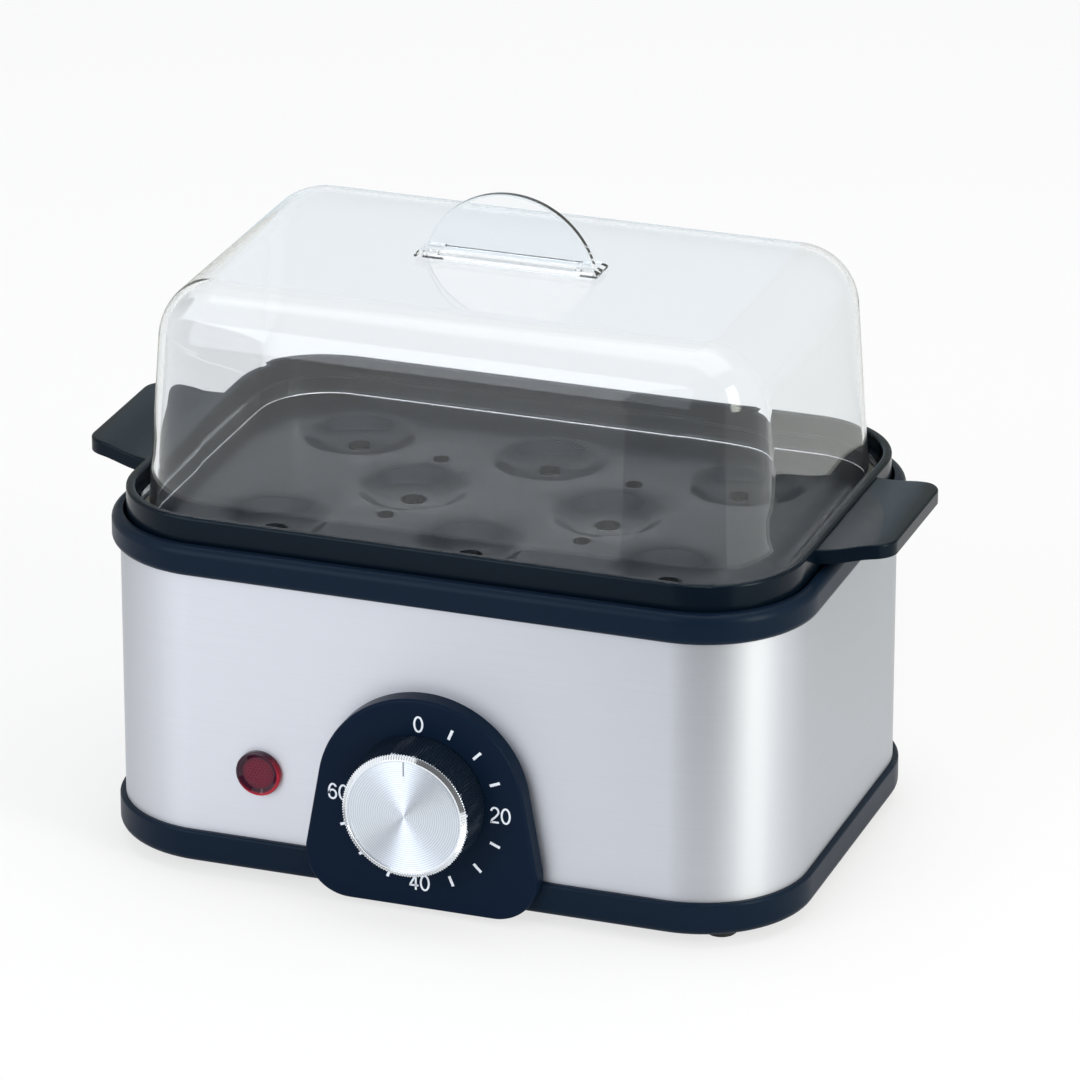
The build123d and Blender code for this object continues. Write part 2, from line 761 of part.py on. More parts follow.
def lamp_lens():
    """Red indicator lens: raised rim, dish with a sloping wall, and a barrel through the sleeve."""
    lens = front_disc(-lamp_offset_x, lamp_z, lamp_lens_radius, 0, lamp_lens_proud)
    rim = lens.faces().sort_by(Axis.Y)[0].outer_wire().edges()
    lens = fillet(rim, lamp_lens_round)
    dish = lamp_lens_radius - lamp_lens_rim
    lens -= front_plane(-lamp_offset_x, lamp_z, lamp_lens_proud - lamp_lens_dish) * Cone(
        dish - lamp_lens_slope, dish, lamp_lens_dish, align=STANDING
    )
    return lens + front_disc(-lamp_offset_x, lamp_z, lamp_barrel_radius, -lamp_barrel_length, 0)


def lamp_holder():
    """Push-on holder behind the lens, closed at its back, round the lamp."""
    front = -sleeve_gauge
    back = front - lamp_holder_length
    outer = lamp_barrel_radius + running_gap + lamp_holder_wall
    tube = front_disc(-lamp_offset_x, lamp_z, outer, back, front)
    return tube - front_disc(-lamp_offset_x, lamp_z, lamp_barrel_radius + running_gap,
                             back + lamp_holder_wall, front + cut_overrun)


def neon_lamp():
    """Small neon lamp that stands on the holder's back wall behind the lens."""
    back = lamp_holder_wall - sleeve_gauge - lamp_holder_length
    glass = front_disc(-lamp_offset_x, lamp_z, neon_radius, back, back + neon_length)
    return chamfer(glass.faces().sort_by(Axis.Y)[0].edges(), neon_radius / 2)


def rear_disc(radius, low, high):
    """Cylinder square to the back at the mains inlet, between two distances out from the sleeve."""
    plane = Plane(origin=(gland_offset_x, -front_y + low, gland_z), x_dir=(-1, 0, 0), z_dir=(0, 1, 0))
    return plane * Cylinder(radius, high - low, align=STANDING)


def cord_gland():
    """Bush in the back wall through which a mains lead enters."""
    bush = rear_disc(gland_flange_radius, 0, gland_flange_height)
    bush = chamfer(bush.faces().sort_by(Axis.Y)[-1].edges(), gland_flange_height / 2)
    bush += rear_disc(gland_radius, -gland_barrel_length, 0)
    return bush - rear_disc(gland_bore_radius, -gland_barrel_length - cut_overrun,
                            gland_flange_height + cut_overrun)


def gland_nut():
    """Hexagon nut on the bush, inside the back wall."""
    high = -sleeve_gauge
    low = high - gland_nut_height
    plane = Plane(origin=(gland_offset_x, -front_y + low, gland_z), x_dir=(-1, 0, 0), z_dir=(0, 1, 0))
    nut = plane * extrude(RegularPolygon(gland_flange_radius, 6), amount=gland_nut_height)
    return nut - rear_disc(gland_radius + running_gap, low - cut_overrun, high + cut_overrun)


def terminal_block():
    """Ceramic terminal block on the base's floor, with a wire way and a screw well for each pole."""
    low = floor_high
    block = Pos(block_offset_x, block_offset_y + block_depth / 2, low) * Box(
        block_length, block_depth, block_height, align=STANDING
    )
    block -= Pos(0, base_rib_offset, low) * Box(
        body_length, base_rib_thickness + 2 * assembly_gap, base_rib_height + assembly_gap,
        align=STANDING
    )
    middle = low + block_height * 2 / 3
    for x in block_way_x():
        block -= along_y((x, block_offset_y - cut_overrun, middle), block_hole_radius,
                         block_depth + 2 * cut_overrun)
        block -= post(x, block_offset_y + block_depth / 2, block_hole_radius, middle,
                      low + block_height + cut_overrun)
    return block


def block_way_x():
    """X places of the terminal block's ways."""
    pitch = block_length / block_ways
    return [block_offset_x + pitch * (way - (block_ways - 1) / 2) for way in range(block_ways)]


def wall_plan():
    """Outer length, depth and corner radius of the egg tray's wall."""
    return body_length - 2 * tray_inset, body_depth - 2 * tray_inset, body_corner_radius - tray_inset


def egg_seats():
    """Places of the egg seats: a row of three, a row of two and a row of three."""
    outer = [(column * seat_pitch_x, row * seat_pitch_y) for row in ENDS for column in (-1, 0, 1)]
    return outer + [(side * seat_pitch_x / 2, 0) for side in ENDS]


def steam_holes():
    """Places of the small steam holes, amid each group of three seats."""
    third = seat_pitch_y * 2 / 3
    return [(x * seat_pitch_x / 2, y * third) for x, y in CORNERS]


def tray_wing(side):
    """Wing handle at one end: S-shaped section, narrowing to rounded corners at its tip."""
    length = wall_plan()[0]
    root = length / 2 - tray_wall / 2
    tip = length / 2 + wing_reach
    middle = (root + tip) / 2
    root_z = tray_high - wing_root_drop
    tip_z = root_z + wing_rise
    upper = Bezier((root, root_z), (middle, root_z), (middle, tip_z), (tip, tip_z))
    lower_root = root_z - wing_thickness
    lower_tip = tip_z - wing_thickness
    lower = Bezier((root, lower_root), (middle, lower_root), (middle, lower_tip), (tip, lower_tip))
    ends = [Line((root, root_z), (root, lower_root)), Line((tip, tip_z), (tip, lower_tip))]
    section = Plane.XZ * make_face([upper, lower] + ends)
    bar = extrude(section, amount=wing_root_half, both=True)
    outline = Polyline((root, -wing_root_half), (tip, -wing_tip_half), (tip, wing_tip_half),
                       (root, wing_root_half), close=True)
    plan = make_face(outline)
    plan = fillet(plan.vertices().group_by(Axis.X)[-1], wing_tip_round)
    column = Pos(0, 0, tray_floor_high) * extrude(plan, amount=tray_depth + wing_rise + wing_thickness)
    wing = bar & column
    top_edges = [edge for edge in wing.edges() if edge.center().Z > root_z - wing_thickness / 3]
    wing = fillet([edge for edge in top_edges if edge.center().X > root + tray_wall], wing_edge_round)
    return wing if side > 0 else mirror(wing, about=Plane.YZ)


def egg_tray():
    """Egg tray: rounded dish with wing handles, conical egg seats, steam holes and a locating lip below."""
    length, depth, radius = wall_plan()
    tray = slab(length, depth, radius, ledge_high, tray_high)
    for side in ENDS:
        tray += tray_wing(side)
    tray -= slab(length - 2 * tray_wall, depth - 2 * tray_wall, radius - tray_wall, tray_floor_high,
                 tray_high + wing_rise + cut_overrun)
    rims = [edge for edge in tray.edges().filter_by(lambda e: abs(e.center().Z - tray_high) < running_gap)]
    tray = fillet(rims, tray_edge_round)
    lip = slab(rim_opening_length - 2 * tray_lip_gap, rim_opening_depth - 2 * tray_lip_gap,
               rim_opening_radius - tray_lip_gap, ledge_high - tray_lip_height, ledge_high)
    inner = tray_lip_gap + tray_lip_wall
    lip -= slab(rim_opening_length - 2 * inner, rim_opening_depth - 2 * inner, rim_opening_radius - inner,
                ledge_high - tray_lip_height - cut_overrun, ledge_high + cut_overrun)
    tray += lip
    for x, y in egg_seats():
        low = ledge_high - seat_depth
        cup = Pos(x, y, low) * Cone(seat_bottom_radius + tray_floor, seat_radius, seat_depth,
                                    align=STANDING)
        tray += cup
    for x, y in egg_seats():
        dish_low = tray_floor_high - seat_depth
        tray -= Pos(x, y, dish_low) * Cone(seat_bottom_radius, seat_radius, seat_depth,
                                           align=STANDING)
        tray -= post(x, y, seat_hole_radius, ledge_high - seat_depth - cut_overrun, tray_floor_high)
    for x, y in steam_holes():
        tray -= post(x, y, steam_hole_radius, ledge_high - cut_overrun, tray_floor_high + cut_overrun)
    return tray


def lid_plan(inset):
    """Length, depth and corner radius of the lid's flange, drawn in by a distance."""
    length, depth, radius = wall_plan()
    less = tray_wall + lid_fit_gap + inset
    return length - 2 * less, depth - 2 * less, radius - less


def lid_dome(inset, low, high, top_round):
    """Drafted, round-topped dome that starts as the lid's outline drawn in by a distance."""
    outline = RectangleRounded(*lid_plan(inset))
    dome = Pos(0, 0, low) * extrude(outline, amount=high - low, taper=lid_draft_degrees)
    return fillet(outer_edges(dome, high), top_round)


def lid_shell():
    """Clear lid: drafted dome with a round top, and a bead flange that drops inside the tray's wall."""
    low = tray_floor_high
    flange = slab(*lid_plan(0), low, low + lid_flange_height)
    flange = fillet(outer_edges(flange, low + lid_flange_height), lid_flange_round)
    flange = fillet(outer_edges(flange, low), lid_flange_round)
    shell = flange + lid_dome(lid_flange_lip, low, lid_high, lid_top_round)
    inside_round = lid_top_round - lid_wall
    shell -= lid_dome(lid_flange_lip + lid_wall, low, lid_high - lid_wall, inside_round)
    return shell


def lid_handle():
    """Clear finger tab: an upright rounded tab on a foot plate with a slot beside it."""
    plate = Pos(0, 0, lid_high) * Box(handle_plate_length, handle_plate_width, handle_plate_height,
                                      align=STANDING)
    plate_high = lid_high + handle_plate_height
    plate = chamfer(outer_edges(plate, plate_high), handle_plate_bevel)
    for side in ENDS:
        slot_outline = SlotOverall(handle_slot_length, handle_slot_width)
        slot = extrude(slot_outline, amount=handle_slot_depth + cut_overrun)
        plate -= Pos(0, side * handle_slot_offset, plate_high - handle_slot_depth) * slot
    arc = ThreePointArc((-handle_chord / 2, 0), (0, handle_rise), (handle_chord / 2, 0))
    base = Line((-handle_chord / 2, 0), (handle_chord / 2, 0))
    outline = make_face([arc, base])
    tab = Plane(origin=(0, handle_thickness / 2, plate_high), x_dir=(1, 0, 0), z_dir=(0, -1, 0)) * extrude(
        outline, amount=handle_thickness
    )
    curved = [edge for edge in tab.edges() if edge.center().Z > plate_high + handle_rise / 2]
    tab = fillet(curved, handle_edge_round)
    return plate + tab


NODES = {
    "base_tray": base_tray,
    "feet": feet,
    "body_screws": body_screws,
    "steel_sleeve": steel_sleeve,
    "tie_posts": tie_posts,
    "top_rim": top_rim,
    "pan_carrier": pan_carrier,
    "heating_pan": heating_pan,
    "pan_gasket": pan_gasket,
    "pan_screws": pan_screws,
    "heating_element": heating_element,
    "element_pins": element_pins,
    "element_collars": element_collars,
    "thermostat": thermostat,
    "thermostat_bracket": thermostat_bracket,
    "bracket_screws": bracket_screws,
    "thermal_fuse": thermal_fuse,
    "fuse_clip": fuse_clip,
    "timer_bezel": timer_bezel,
    "timer_plate": timer_plate,
    "timer_case": timer_case,
    "timer_bell": timer_bell,
    "timer_tabs": timer_tabs,
    "timer_screws": timer_screws,
    "timer_shaft": timer_shaft,
    "knob_body": knob_body,
    "knob_cap": knob_cap,
    "lamp_lens": lamp_lens,
    "lamp_holder": lamp_holder,
    "neon_lamp": neon_lamp,
    "cord_gland": cord_gland,
    "gland_nut": gland_nut,
    "terminal_block": terminal_block,
    "egg_tray": egg_tray,
    "lid_shell": lid_shell,
    "lid_handle": lid_handle,
}


def write_node(name, shape):
    """Write one node, shifted so that the origin lies under the middle of the overall box."""
    solids = shape if isinstance(shape, list) else [shape]
    placed = [Pos(0, footprint_shift, 0) * solid for solid in solids]
    export_step(Compound(children=placed) if len(placed) > 1 else placed[0], f"parts/{name}.step")


os.makedirs("parts", exist_ok=True)
for node_name, make_node in NODES.items():
    write_node(node_name, make_node())
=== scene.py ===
import json
import logging
import math
from dataclasses import dataclass
from enum import Enum
from functools import cache

import bmesh
import bpy
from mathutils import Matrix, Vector


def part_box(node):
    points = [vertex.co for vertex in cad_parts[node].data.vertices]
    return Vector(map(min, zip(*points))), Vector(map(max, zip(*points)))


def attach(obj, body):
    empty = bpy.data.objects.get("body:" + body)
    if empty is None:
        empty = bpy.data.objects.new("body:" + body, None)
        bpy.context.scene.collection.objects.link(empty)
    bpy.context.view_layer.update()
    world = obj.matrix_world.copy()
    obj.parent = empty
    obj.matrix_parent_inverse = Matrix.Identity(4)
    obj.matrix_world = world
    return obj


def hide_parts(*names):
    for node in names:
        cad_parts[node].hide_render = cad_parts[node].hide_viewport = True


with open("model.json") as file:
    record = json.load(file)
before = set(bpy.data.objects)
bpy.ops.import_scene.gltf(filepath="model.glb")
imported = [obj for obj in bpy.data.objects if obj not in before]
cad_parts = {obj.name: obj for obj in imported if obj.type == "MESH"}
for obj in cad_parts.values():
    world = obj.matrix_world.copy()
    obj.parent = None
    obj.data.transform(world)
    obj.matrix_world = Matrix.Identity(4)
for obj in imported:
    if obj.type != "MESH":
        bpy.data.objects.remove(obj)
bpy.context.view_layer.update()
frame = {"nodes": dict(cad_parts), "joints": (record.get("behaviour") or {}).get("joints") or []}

LOG = logging.getLogger("egg_cooker")
MM = 0.001
MERGE_DISTANCE = 0.001 * MM

Pair = tuple[float, float]
Triple = tuple[float, float, float]
Colour = Triple
Material = bpy.types.Material
Socket = bpy.types.NodeSocket


class Body(Enum):
    """Rigid bodies that carry new pieces."""

    BASE = "base"
    KNOB = "knob"
    LID = "lid"


class Slot(Enum):
    """Material slots of the record."""

    CAP = "spun_aluminium"
    LENS = "red_lens"
    CLEAR = "clear_plastic"


# Node trees

SOCKET_KINDS = {
    int: "NodeSocketInt",
    float: "NodeSocketFloat",
    tuple: "NodeSocketVector",
    Material: "NodeSocketMaterial",
}
VALUE_RESULTS = ("LENGTH", "DISTANCE", "DOT_PRODUCT")


class Tree:
    """Short ways to add nodes to a tree and to join them."""

    def __init__(self, tree: bpy.types.NodeTree) -> None:
        """Take the tree to work on."""
        self.tree = tree

    def feed(self, socket: Socket, given: object) -> None:
        """Link an input to a socket, or give it a value.

        Args:
            socket: The input.
            given: A socket, a number, a vector, or a colour without its alpha.
        """
        if isinstance(given, Socket):
            self.tree.links.new(given, socket)
        elif socket.type == "RGBA":
            socket.default_value = (*given, 1.0)
        else:
            socket.default_value = given

    def node(self, kind: str, inputs: dict[str | int, object] | None = None,
             **settings: object) -> bpy.types.Node:
        """Add a node.

        Args:
            kind: The node's type.
            inputs: What its inputs are fed with, by name or number.
            settings: Values of its properties.

        Returns:
            The node.
        """
        made = self.tree.nodes.new(kind)
        for key, value in settings.items():
            setattr(made, key, value)
        for key, given in (inputs or {}).items():
            self.feed(made.inputs[key], given)
        return made

    def math(self, operation: str, *given: object) -> Socket:
        """Add a math node on numbers or sockets, and give its result."""
        return self.node("ShaderNodeMath", dict(enumerate(given)), operation=operation).outputs["Value"]

    def vector(self, operation: str, *given: object) -> Socket:
        """Add a vector math node on vectors or sockets, and give its result."""
        made = self.node("ShaderNodeVectorMath", dict(enumerate(given)), operation=operation)
        return made.outputs["Value" if operation in VALUE_RESULTS else "Vector"]


class MaterialTree(Tree):
    """Tree of a new material with one principled shader."""

    def __init__(self, name: str) -> None:
        """Make the material.

        Args:
            name: The material's name.
        """
        self.material = bpy.data.materials.new(name)
        self.material.use_nodes = True
        super().__init__(self.material.node_tree)
        self.shader = self.tree.nodes["Principled BSDF"]

    def shade(self, inputs: dict[str, object]) -> None:
        """Feed inputs of the principled shader, each by its name."""
        for title, given in inputs.items():
            self.feed(self.shader.inputs[title], given)

    def surface(self, shader: Socket) -> None:
        """Put another shader on the material's surface."""
        self.feed(self.tree.nodes["Material Output"].inputs["Surface"], shader)

    def bump(self, height: Socket, strength: float, depth: float) -> None:
        """Feed a height into the shader's normal, with the share that shows and the depth in metres."""
        bump = self.node("ShaderNodeBump", {"Height": height, "Strength": strength, "Distance": depth})
        self.shade({"Normal": bump.outputs["Normal"]})

    def mix(self, share: Socket, first: object, second: object) -> Socket:
        """Mix two colours or sockets by the second one's share, and give the result."""
        made = self.node("ShaderNodeMix", {"Factor": share, "A": first, "B": second}, data_type="RGBA")
        return made.outputs["Result"]

    def rise(self, value: Socket, start: float, end: float) -> Socket:
        """Give a mask that rises smoothly from zero to one between two values."""
        limits = {"Value": value, "From Min": start, "From Max": end}
        return self.node("ShaderNodeMapRange", limits, interpolation_type="SMOOTHSTEP").outputs["Result"]

    def arm(self, centre: Vector) -> Socket:
        """Give the arm to each point of the surface, square to an axis along Y through the centre."""
        place = self.node("ShaderNodeTexCoord").outputs["Object"]
        return self.vector("MULTIPLY", self.vector("SUBTRACT", place, centre), (1.0, 0.0, 1.0))


class GroupTree(Tree):
    """New node group with named inputs and outputs."""

    def __init__(self, name: str, kind: str, inputs: dict[str, type], outputs: dict[str, str]) -> None:
        """Start the group.

        Args:
            name: The group's name.
            kind: The tree's type.
            inputs: Input names with the types of their values.
            outputs: Output names with their socket types.
        """
        super().__init__(bpy.data.node_groups.new(name, kind))
        self.identifiers = {}
        for title, value_type in inputs.items():
            socket_type = SOCKET_KINDS[value_type]
            socket = self.tree.interface.new_socket(title, in_out="INPUT", socket_type=socket_type)
            self.identifiers[title] = socket.identifier
        for title, socket_type in outputs.items():
            self.tree.interface.new_socket(title, in_out="OUTPUT", socket_type=socket_type)
        self.source = self.node("NodeGroupInput")
        self.sink = self.node("NodeGroupOutput")

    def value(self, title: str) -> Socket:
        """Give the socket of a named input."""
        return self.source.outputs[title]

    def put(self, title: str, given: Socket) -> None:
        """Feed a named output."""
        self.feed(self.sink.inputs[title], given)


# Shader groups


class GrainGroup(GroupTree):
    """Shader group for a grain, with a roughness between two limits."""

    def __init__(self, name: str, inputs: dict[str, type], outputs: tuple[str, ...]) -> None:
        """Start the group.

        Args:
            name: The group's name.
            inputs: Input names with the types of their values, besides the limits of the roughness.
            outputs: Names of the values that it puts out, besides the roughness.
        """
        limits = {"Rough Low": float, "Rough High": float}
        values = dict.fromkeys(("Roughness", *outputs), "NodeSocketFloat")
        super().__init__(name, "ShaderNodeTree", inputs | limits, values)
        self.place = self.node("ShaderNodeTexCoord").outputs["Object"]

    def noise(self, place: Socket, scale: object, detail: float) -> Socket:
        """Add a noise that reads a place, and give its level."""
        inputs = {"Vector": place, "Scale": scale, "Detail": detail}
        return self.node("ShaderNodeTexNoise", inputs).outputs["Fac"]

    def put_roughness(self, noise: Socket) -> None:
        """Put out a roughness that follows a noise from the low limit to the high one."""
        limits = {"Value": noise, "To Min": self.value("Rough Low"), "To Max": self.value("Rough High")}
        self.put("Roughness", self.node("ShaderNodeMapRange", limits).outputs["Result"])


@cache
def moulded_grain() -> bpy.types.NodeTree:
    """Build the group for moulded surfaces, once: fine grain with slow changes of gloss over it.

    Returns:
        The group.
    """
    fine_detail, slow_detail, slow_scale = 2.0, 3.0, 45.0
    group = GrainGroup("moulded_grain", {"Scale": float}, ("Height",))
    group.put("Height", group.noise(group.place, group.value("Scale"), fine_detail))
    group.put_roughness(group.noise(group.place, slow_scale, slow_detail))
    return group.tree


@cache
def brushed_grain() -> bpy.types.NodeTree:
    """Build the group for brushed metal, once: streaks with a pace of their own along each axis.

    Returns:
        The group.
    """
    streak_detail = 4.0
    group = GrainGroup("brushed_grain", {"Pace": tuple}, ("Height", "Shade"))
    streaks = group.noise(group.vector("MULTIPLY", group.place, group.value("Pace")), 1.0, streak_detail)
    group.put("Height", streaks)
    group.put("Shade", streaks)
    group.put_roughness(streaks)
    return group.tree


# Finishes


@dataclass(frozen=True)
class Finish:
    """Base of the finishes: each has one material, built once."""

    name: str

    def material(self, *place: object) -> Material:
        """Build the material, or give the one already built.

        Args:
            place: Where the piece lies, for a finish that is set out on its piece.

        Returns:
            The material.
        """
        if self.name not in bpy.data.materials:
            self.paint(MaterialTree(self.name), *place)
        return bpy.data.materials[self.name]

    def paint(self, tree: MaterialTree, *place: object) -> None:
        """Set up the shader, each finish in its own way."""
        raise NotImplementedError

    def grain(self, tree: MaterialTree, group: bpy.types.NodeTree, rough: Pair,
              **values: object) -> bpy.types.bpy_prop_collection:
        """Put a grain's group in a material and let it set the roughness.

        Args:
            tree: The material's tree.
            group: The grain's group.
            rough: Lowest and highest roughness.
            values: Values of the group's other inputs.

        Returns:
            The group's outputs.
        """
        limits = {"Rough Low": rough[0], "Rough High": rough[1]}
        outputs = tree.node("ShaderNodeGroup", limits | values, node_tree=group).outputs
        tree.shade({"Roughness": outputs["Roughness"]})
        return outputs


@dataclass(frozen=True)
class Moulded(Finish):
    """Moulded plastic, rubber, ceramic or coated metal with a fine grain."""

    colour: Colour
    rough: Pair
    metallic: float = 0.0
    specular: float = 0.5
    tint: Colour = (1.0, 1.0, 1.0)
    grain_scale: float = 900.0
    grain_strength: float = 0.15
    grain_depth: float = 0.05 * MM

    def paint(self, tree: MaterialTree) -> None:
        """Set the colour and the gloss, and lay the grain over them.

        Args:
            tree: The material's tree.
        """
        tree.shade({"Base Color": self.colour, "Metallic": self.metallic,
                    "Specular IOR Level": self.specular, "Specular Tint": self.tint})
        grain = self.grain(tree, moulded_grain(), self.rough, Scale=self.grain_scale)
        tree.bump(grain["Height"], self.grain_strength, self.grain_depth)


@dataclass(frozen=True)
class Brushed(Finish):
    """Metal brushed level all round, with its gloss drawn out upwards."""

    dark: Colour
    light: Colour
    rough: Pair
    stretch: float
    pace: Triple = (22.0, 22.0, 7000.0)
    grain_strength: float = 0.1
    grain_depth: float = 0.01 * MM

    def paint(self, tree: MaterialTree) -> None:
        """Lay the streaks, and turn the gloss across them.

        Args:
            tree: The material's tree.
        """
        grain = self.grain(tree, brushed_grain(), self.rough, Pace=self.pace)
        upright = tree.node("ShaderNodeCombineXYZ", {"Z": 1.0}).outputs["Vector"]
        tree.shade({"Base Color": tree.mix(grain["Shade"], self.dark, self.light), "Metallic": 1.0,
                    "Anisotropic": self.stretch, "Tangent": upright})
        tree.bump(grain["Height"], self.grain_strength, self.grain_depth)


@dataclass(frozen=True)
class Turned(Finish):
    """Metal turned on a lathe: gloss drawn out across fine rings round an axis along Y, with painted shade
    in the grooves.
    """

    colour: Colour
    rough: Pair
    stretch: float
    pitch: float = 0.6 * MM
    painted_groove_shade: float = 0.72
    grain_scale: float = 1500.0

    def paint(self, tree: MaterialTree, centre: Vector) -> None:
        """Turn the gloss outwards and paint shade into the grooves.

        Args:
            tree: The material's tree.
            centre: A point on the axis of the rings.
        """
        self.grain(tree, moulded_grain(), self.rough, Scale=self.grain_scale)
        arm = tree.arm(centre)
        outward = tree.node("ShaderNodeVectorTransform", {"Vector": arm}, vector_type="VECTOR",
                            convert_from="OBJECT", convert_to="WORLD")
        ring = tree.math("PINGPONG", tree.vector("LENGTH", arm), self.pitch / 2)
        # Painted shade: the colour darkens towards each groove.
        groove = tuple(part * self.painted_groove_shade for part in self.colour)
        limits = {"From Max": (self.pitch / 2,) * 3, "To Min": groove, "To Max": self.colour}
        shade = tree.node("ShaderNodeMapRange", data_type="FLOAT_VECTOR", inputs={"Vector": ring} | limits)
        tree.shade({"Base Color": shade.outputs["Vector"], "Metallic": 1.0,
                    "Anisotropic": self.stretch, "Tangent": outward.outputs["Vector"]})


@dataclass(frozen=True)
class Clear(Finish):
    """Clear polished plastic or glass."""

    colour: Colour
    rough: Pair
    index: float
    clearness: float = 1.0
    grain_scale: float = 120.0

    def paint(self, tree: MaterialTree) -> None:
        """Make the shader clear, with a gloss that changes a little."""
        tree.shade({"Base Color": self.colour, "IOR": self.index, "Transmission Weight": self.clearness})
        self.grain(tree, moulded_grain(), self.rough, Scale=self.grain_scale)


@dataclass(frozen=True)
class Lens(Finish):
    """Deep-coloured lens: a darker ring round its middle, for its thicker plastic and for painted shade of
    its dish's wall, and painted light along one side of the edge.
    """

    middle: Colour
    ring_tone_and_painted_shade: Colour
    painted_edge_light: Colour
    roughness: float
    index: float
    clearness: float
    painted_light_side: Triple = (0.6, 0.0, -0.8)
    ring_and_shade_shares: Pair = (0.55, 0.82)
    painted_light_edge_shares: Pair = (0.8, 0.96)
    painted_light_side_shares: Pair = (-0.5, 0.9)

    def paint(self, tree: MaterialTree, centre: Vector, radius: float) -> None:
        """Lay out the ring with its painted shade, and the painted light on the edge, by the lens's radius.

        Args:
            tree: The material's tree.
            centre: A point on the lens's axis, which lies along Y.
            radius: The lens's outer radius.
        """
        arm = tree.arm(centre)
        reach = tree.vector("LENGTH", arm)
        lean = tree.vector("DOT_PRODUCT", arm, self.painted_light_side)
        bands = ((reach, self.ring_and_shade_shares), (reach, self.painted_light_edge_shares), (lean, self.painted_light_side_shares))
        # The ring darkens outwards, partly as painted shade; the edge on one side gets painted light.
        ring, edge, side = (tree.rise(value, start * radius, end * radius) for value, (start, end) in bands)
        ringed_with_painted_shade = tree.mix(ring, self.middle, self.ring_tone_and_painted_shade)
        tree.shade({"Base Color": tree.mix(tree.math("MULTIPLY", edge, side), ringed_with_painted_shade, self.painted_edge_light),
                    "Roughness": self.roughness, "IOR": self.index, "Transmission Weight": self.clearness})


COOL_GLOSS = (0.78, 0.93, 1.0)


@dataclass(frozen=True)
class Finishes:
    """All finishes of the cooker."""

    satin_black: Finish = Moulded("satin_black", (0.004, 0.0105, 0.024), (0.30, 0.38), specular=0.09,
                                  tint=COOL_GLOSS)
    panel_black: Finish = Moulded("panel_black", (0.0045, 0.0115, 0.027), (0.26, 0.34), specular=0.035)
    tray_black: Finish = Moulded("tray_black", (0.002, 0.0055, 0.0115), (0.16, 0.24), specular=0.12,
                                 tint=COOL_GLOSS, grain_strength=0.0)
    knob_black: Finish = Moulded("knob_black", (0.006, 0.012, 0.024), (0.24, 0.32), specular=0.4)
    foot_rubber: Finish = Moulded("foot_rubber", (0.012, 0.013, 0.015), (0.6, 0.75), grain_strength=0.3)
    seal_rubber: Finish = Moulded("seal_rubber", (0.35, 0.35, 0.36), (0.5, 0.65))
    zinc: Finish = Moulded("zinc_plate", (0.62, 0.62, 0.64), (0.28, 0.42), metallic=1.0)
    pan_coat: Finish = Moulded("pan_coat", (0.42, 0.43, 0.45), (0.35, 0.5), metallic=1.0)
    sheath: Finish = Moulded("sheath_metal", (0.36, 0.36, 0.37), (0.35, 0.5), metallic=1.0)
    brass: Finish = Moulded("drawn_brass", (0.72, 0.52, 0.22), (0.25, 0.35), metallic=1.0)
    bell: Finish = Moulded("bright_bell", (0.75, 0.75, 0.77), (0.08, 0.16), metallic=1.0)
    ceramic: Finish = Moulded("raw_ceramic", (0.78, 0.75, 0.68), (0.5, 0.65))
    brown: Finish = Moulded("thermoset_brown", (0.11, 0.05, 0.025), (0.35, 0.5))
    print_white: Finish = Moulded("dial_print", (0.78, 0.83, 0.92), (0.45, 0.55), specular=0.2)
    # The lens's darker ring is partly painted shade, and its bright edge on one side is painted light.
    lens_red: Finish = Lens("lens_clear_red", middle=(0.19, 0.008, 0.036), ring_tone_and_painted_shade=(0.045, 0.008, 0.026),
                            painted_edge_light=(0.72, 0.014, 0.045), roughness=0.06, index=1.38, clearness=0.35)
    steel: Finish = Brushed("brushed_steel", dark=(0.546, 0.563, 0.606), light=(0.617, 0.634, 0.68),
                            rough=(0.52, 0.58), stretch=0.5)
    bevel: Finish = Moulded("bright_bevel", (0.84, 0.875, 0.92), (0.08, 0.14), metallic=1.0)
    spun: Turned = Turned("turned_cap", (0.83, 0.895, 0.985), (0.4, 0.48), stretch=0.9)
    engraved: Finish = Moulded("engraved_line", (0.35, 0.37, 0.41), (0.3, 0.4), metallic=1.0)
    clear: Finish = Clear("clear_lid", (0.945, 0.965, 0.98), (0.01, 0.02), index=1.34, clearness=0.985)
    lamp_glass: Finish = Clear("neon_glass", (0.98, 0.95, 0.9), (0.01, 0.02), index=1.5)


FINISH = Finishes()


# Meshes


def add_object(name: str, data: bpy.types.ID) -> bpy.types.Object:
    """Make an object and put it in the scene.

    Args:
        name: The object's name.
        data: Its mesh, lamp or camera.

    Returns:
        The new object.
    """
    made = bpy.data.objects.new(name, data)
    bpy.context.scene.collection.objects.link(made)
    return made


def dress_nodes(finish: Finish | Material, *names: str, crease: float = 30.0) -> None:
    """Give CAD nodes a finish and smooth shading that keeps their edges.

    Args:
        finish: The finish they get, or a material already built from one.
        names: The CAD nodes.
        crease: Angle in degrees over which an edge stays sharp.
    """
    material = finish if isinstance(finish, Material) else finish.material()
    for name in names:
        node = frame["nodes"][name]
        mesh = node.data
        mesh.materials.clear()
        mesh.materials.append(material)
        if "custom_normal" in mesh.attributes:
            mesh.attributes.remove(mesh.attributes["custom_normal"])
        mesh.polygons.foreach_set("use_smooth", [True] * len(mesh.polygons))
        node.modifiers.new("weld", "WELD").merge_threshold = MERGE_DISTANCE
        node.modifiers.new("crease", "EDGE_SPLIT").split_angle = math.radians(crease)
        node.modifiers.new("even", "WEIGHTED_NORMAL").keep_sharp = True
        LOG.info("node %s: %s", name, material.name)


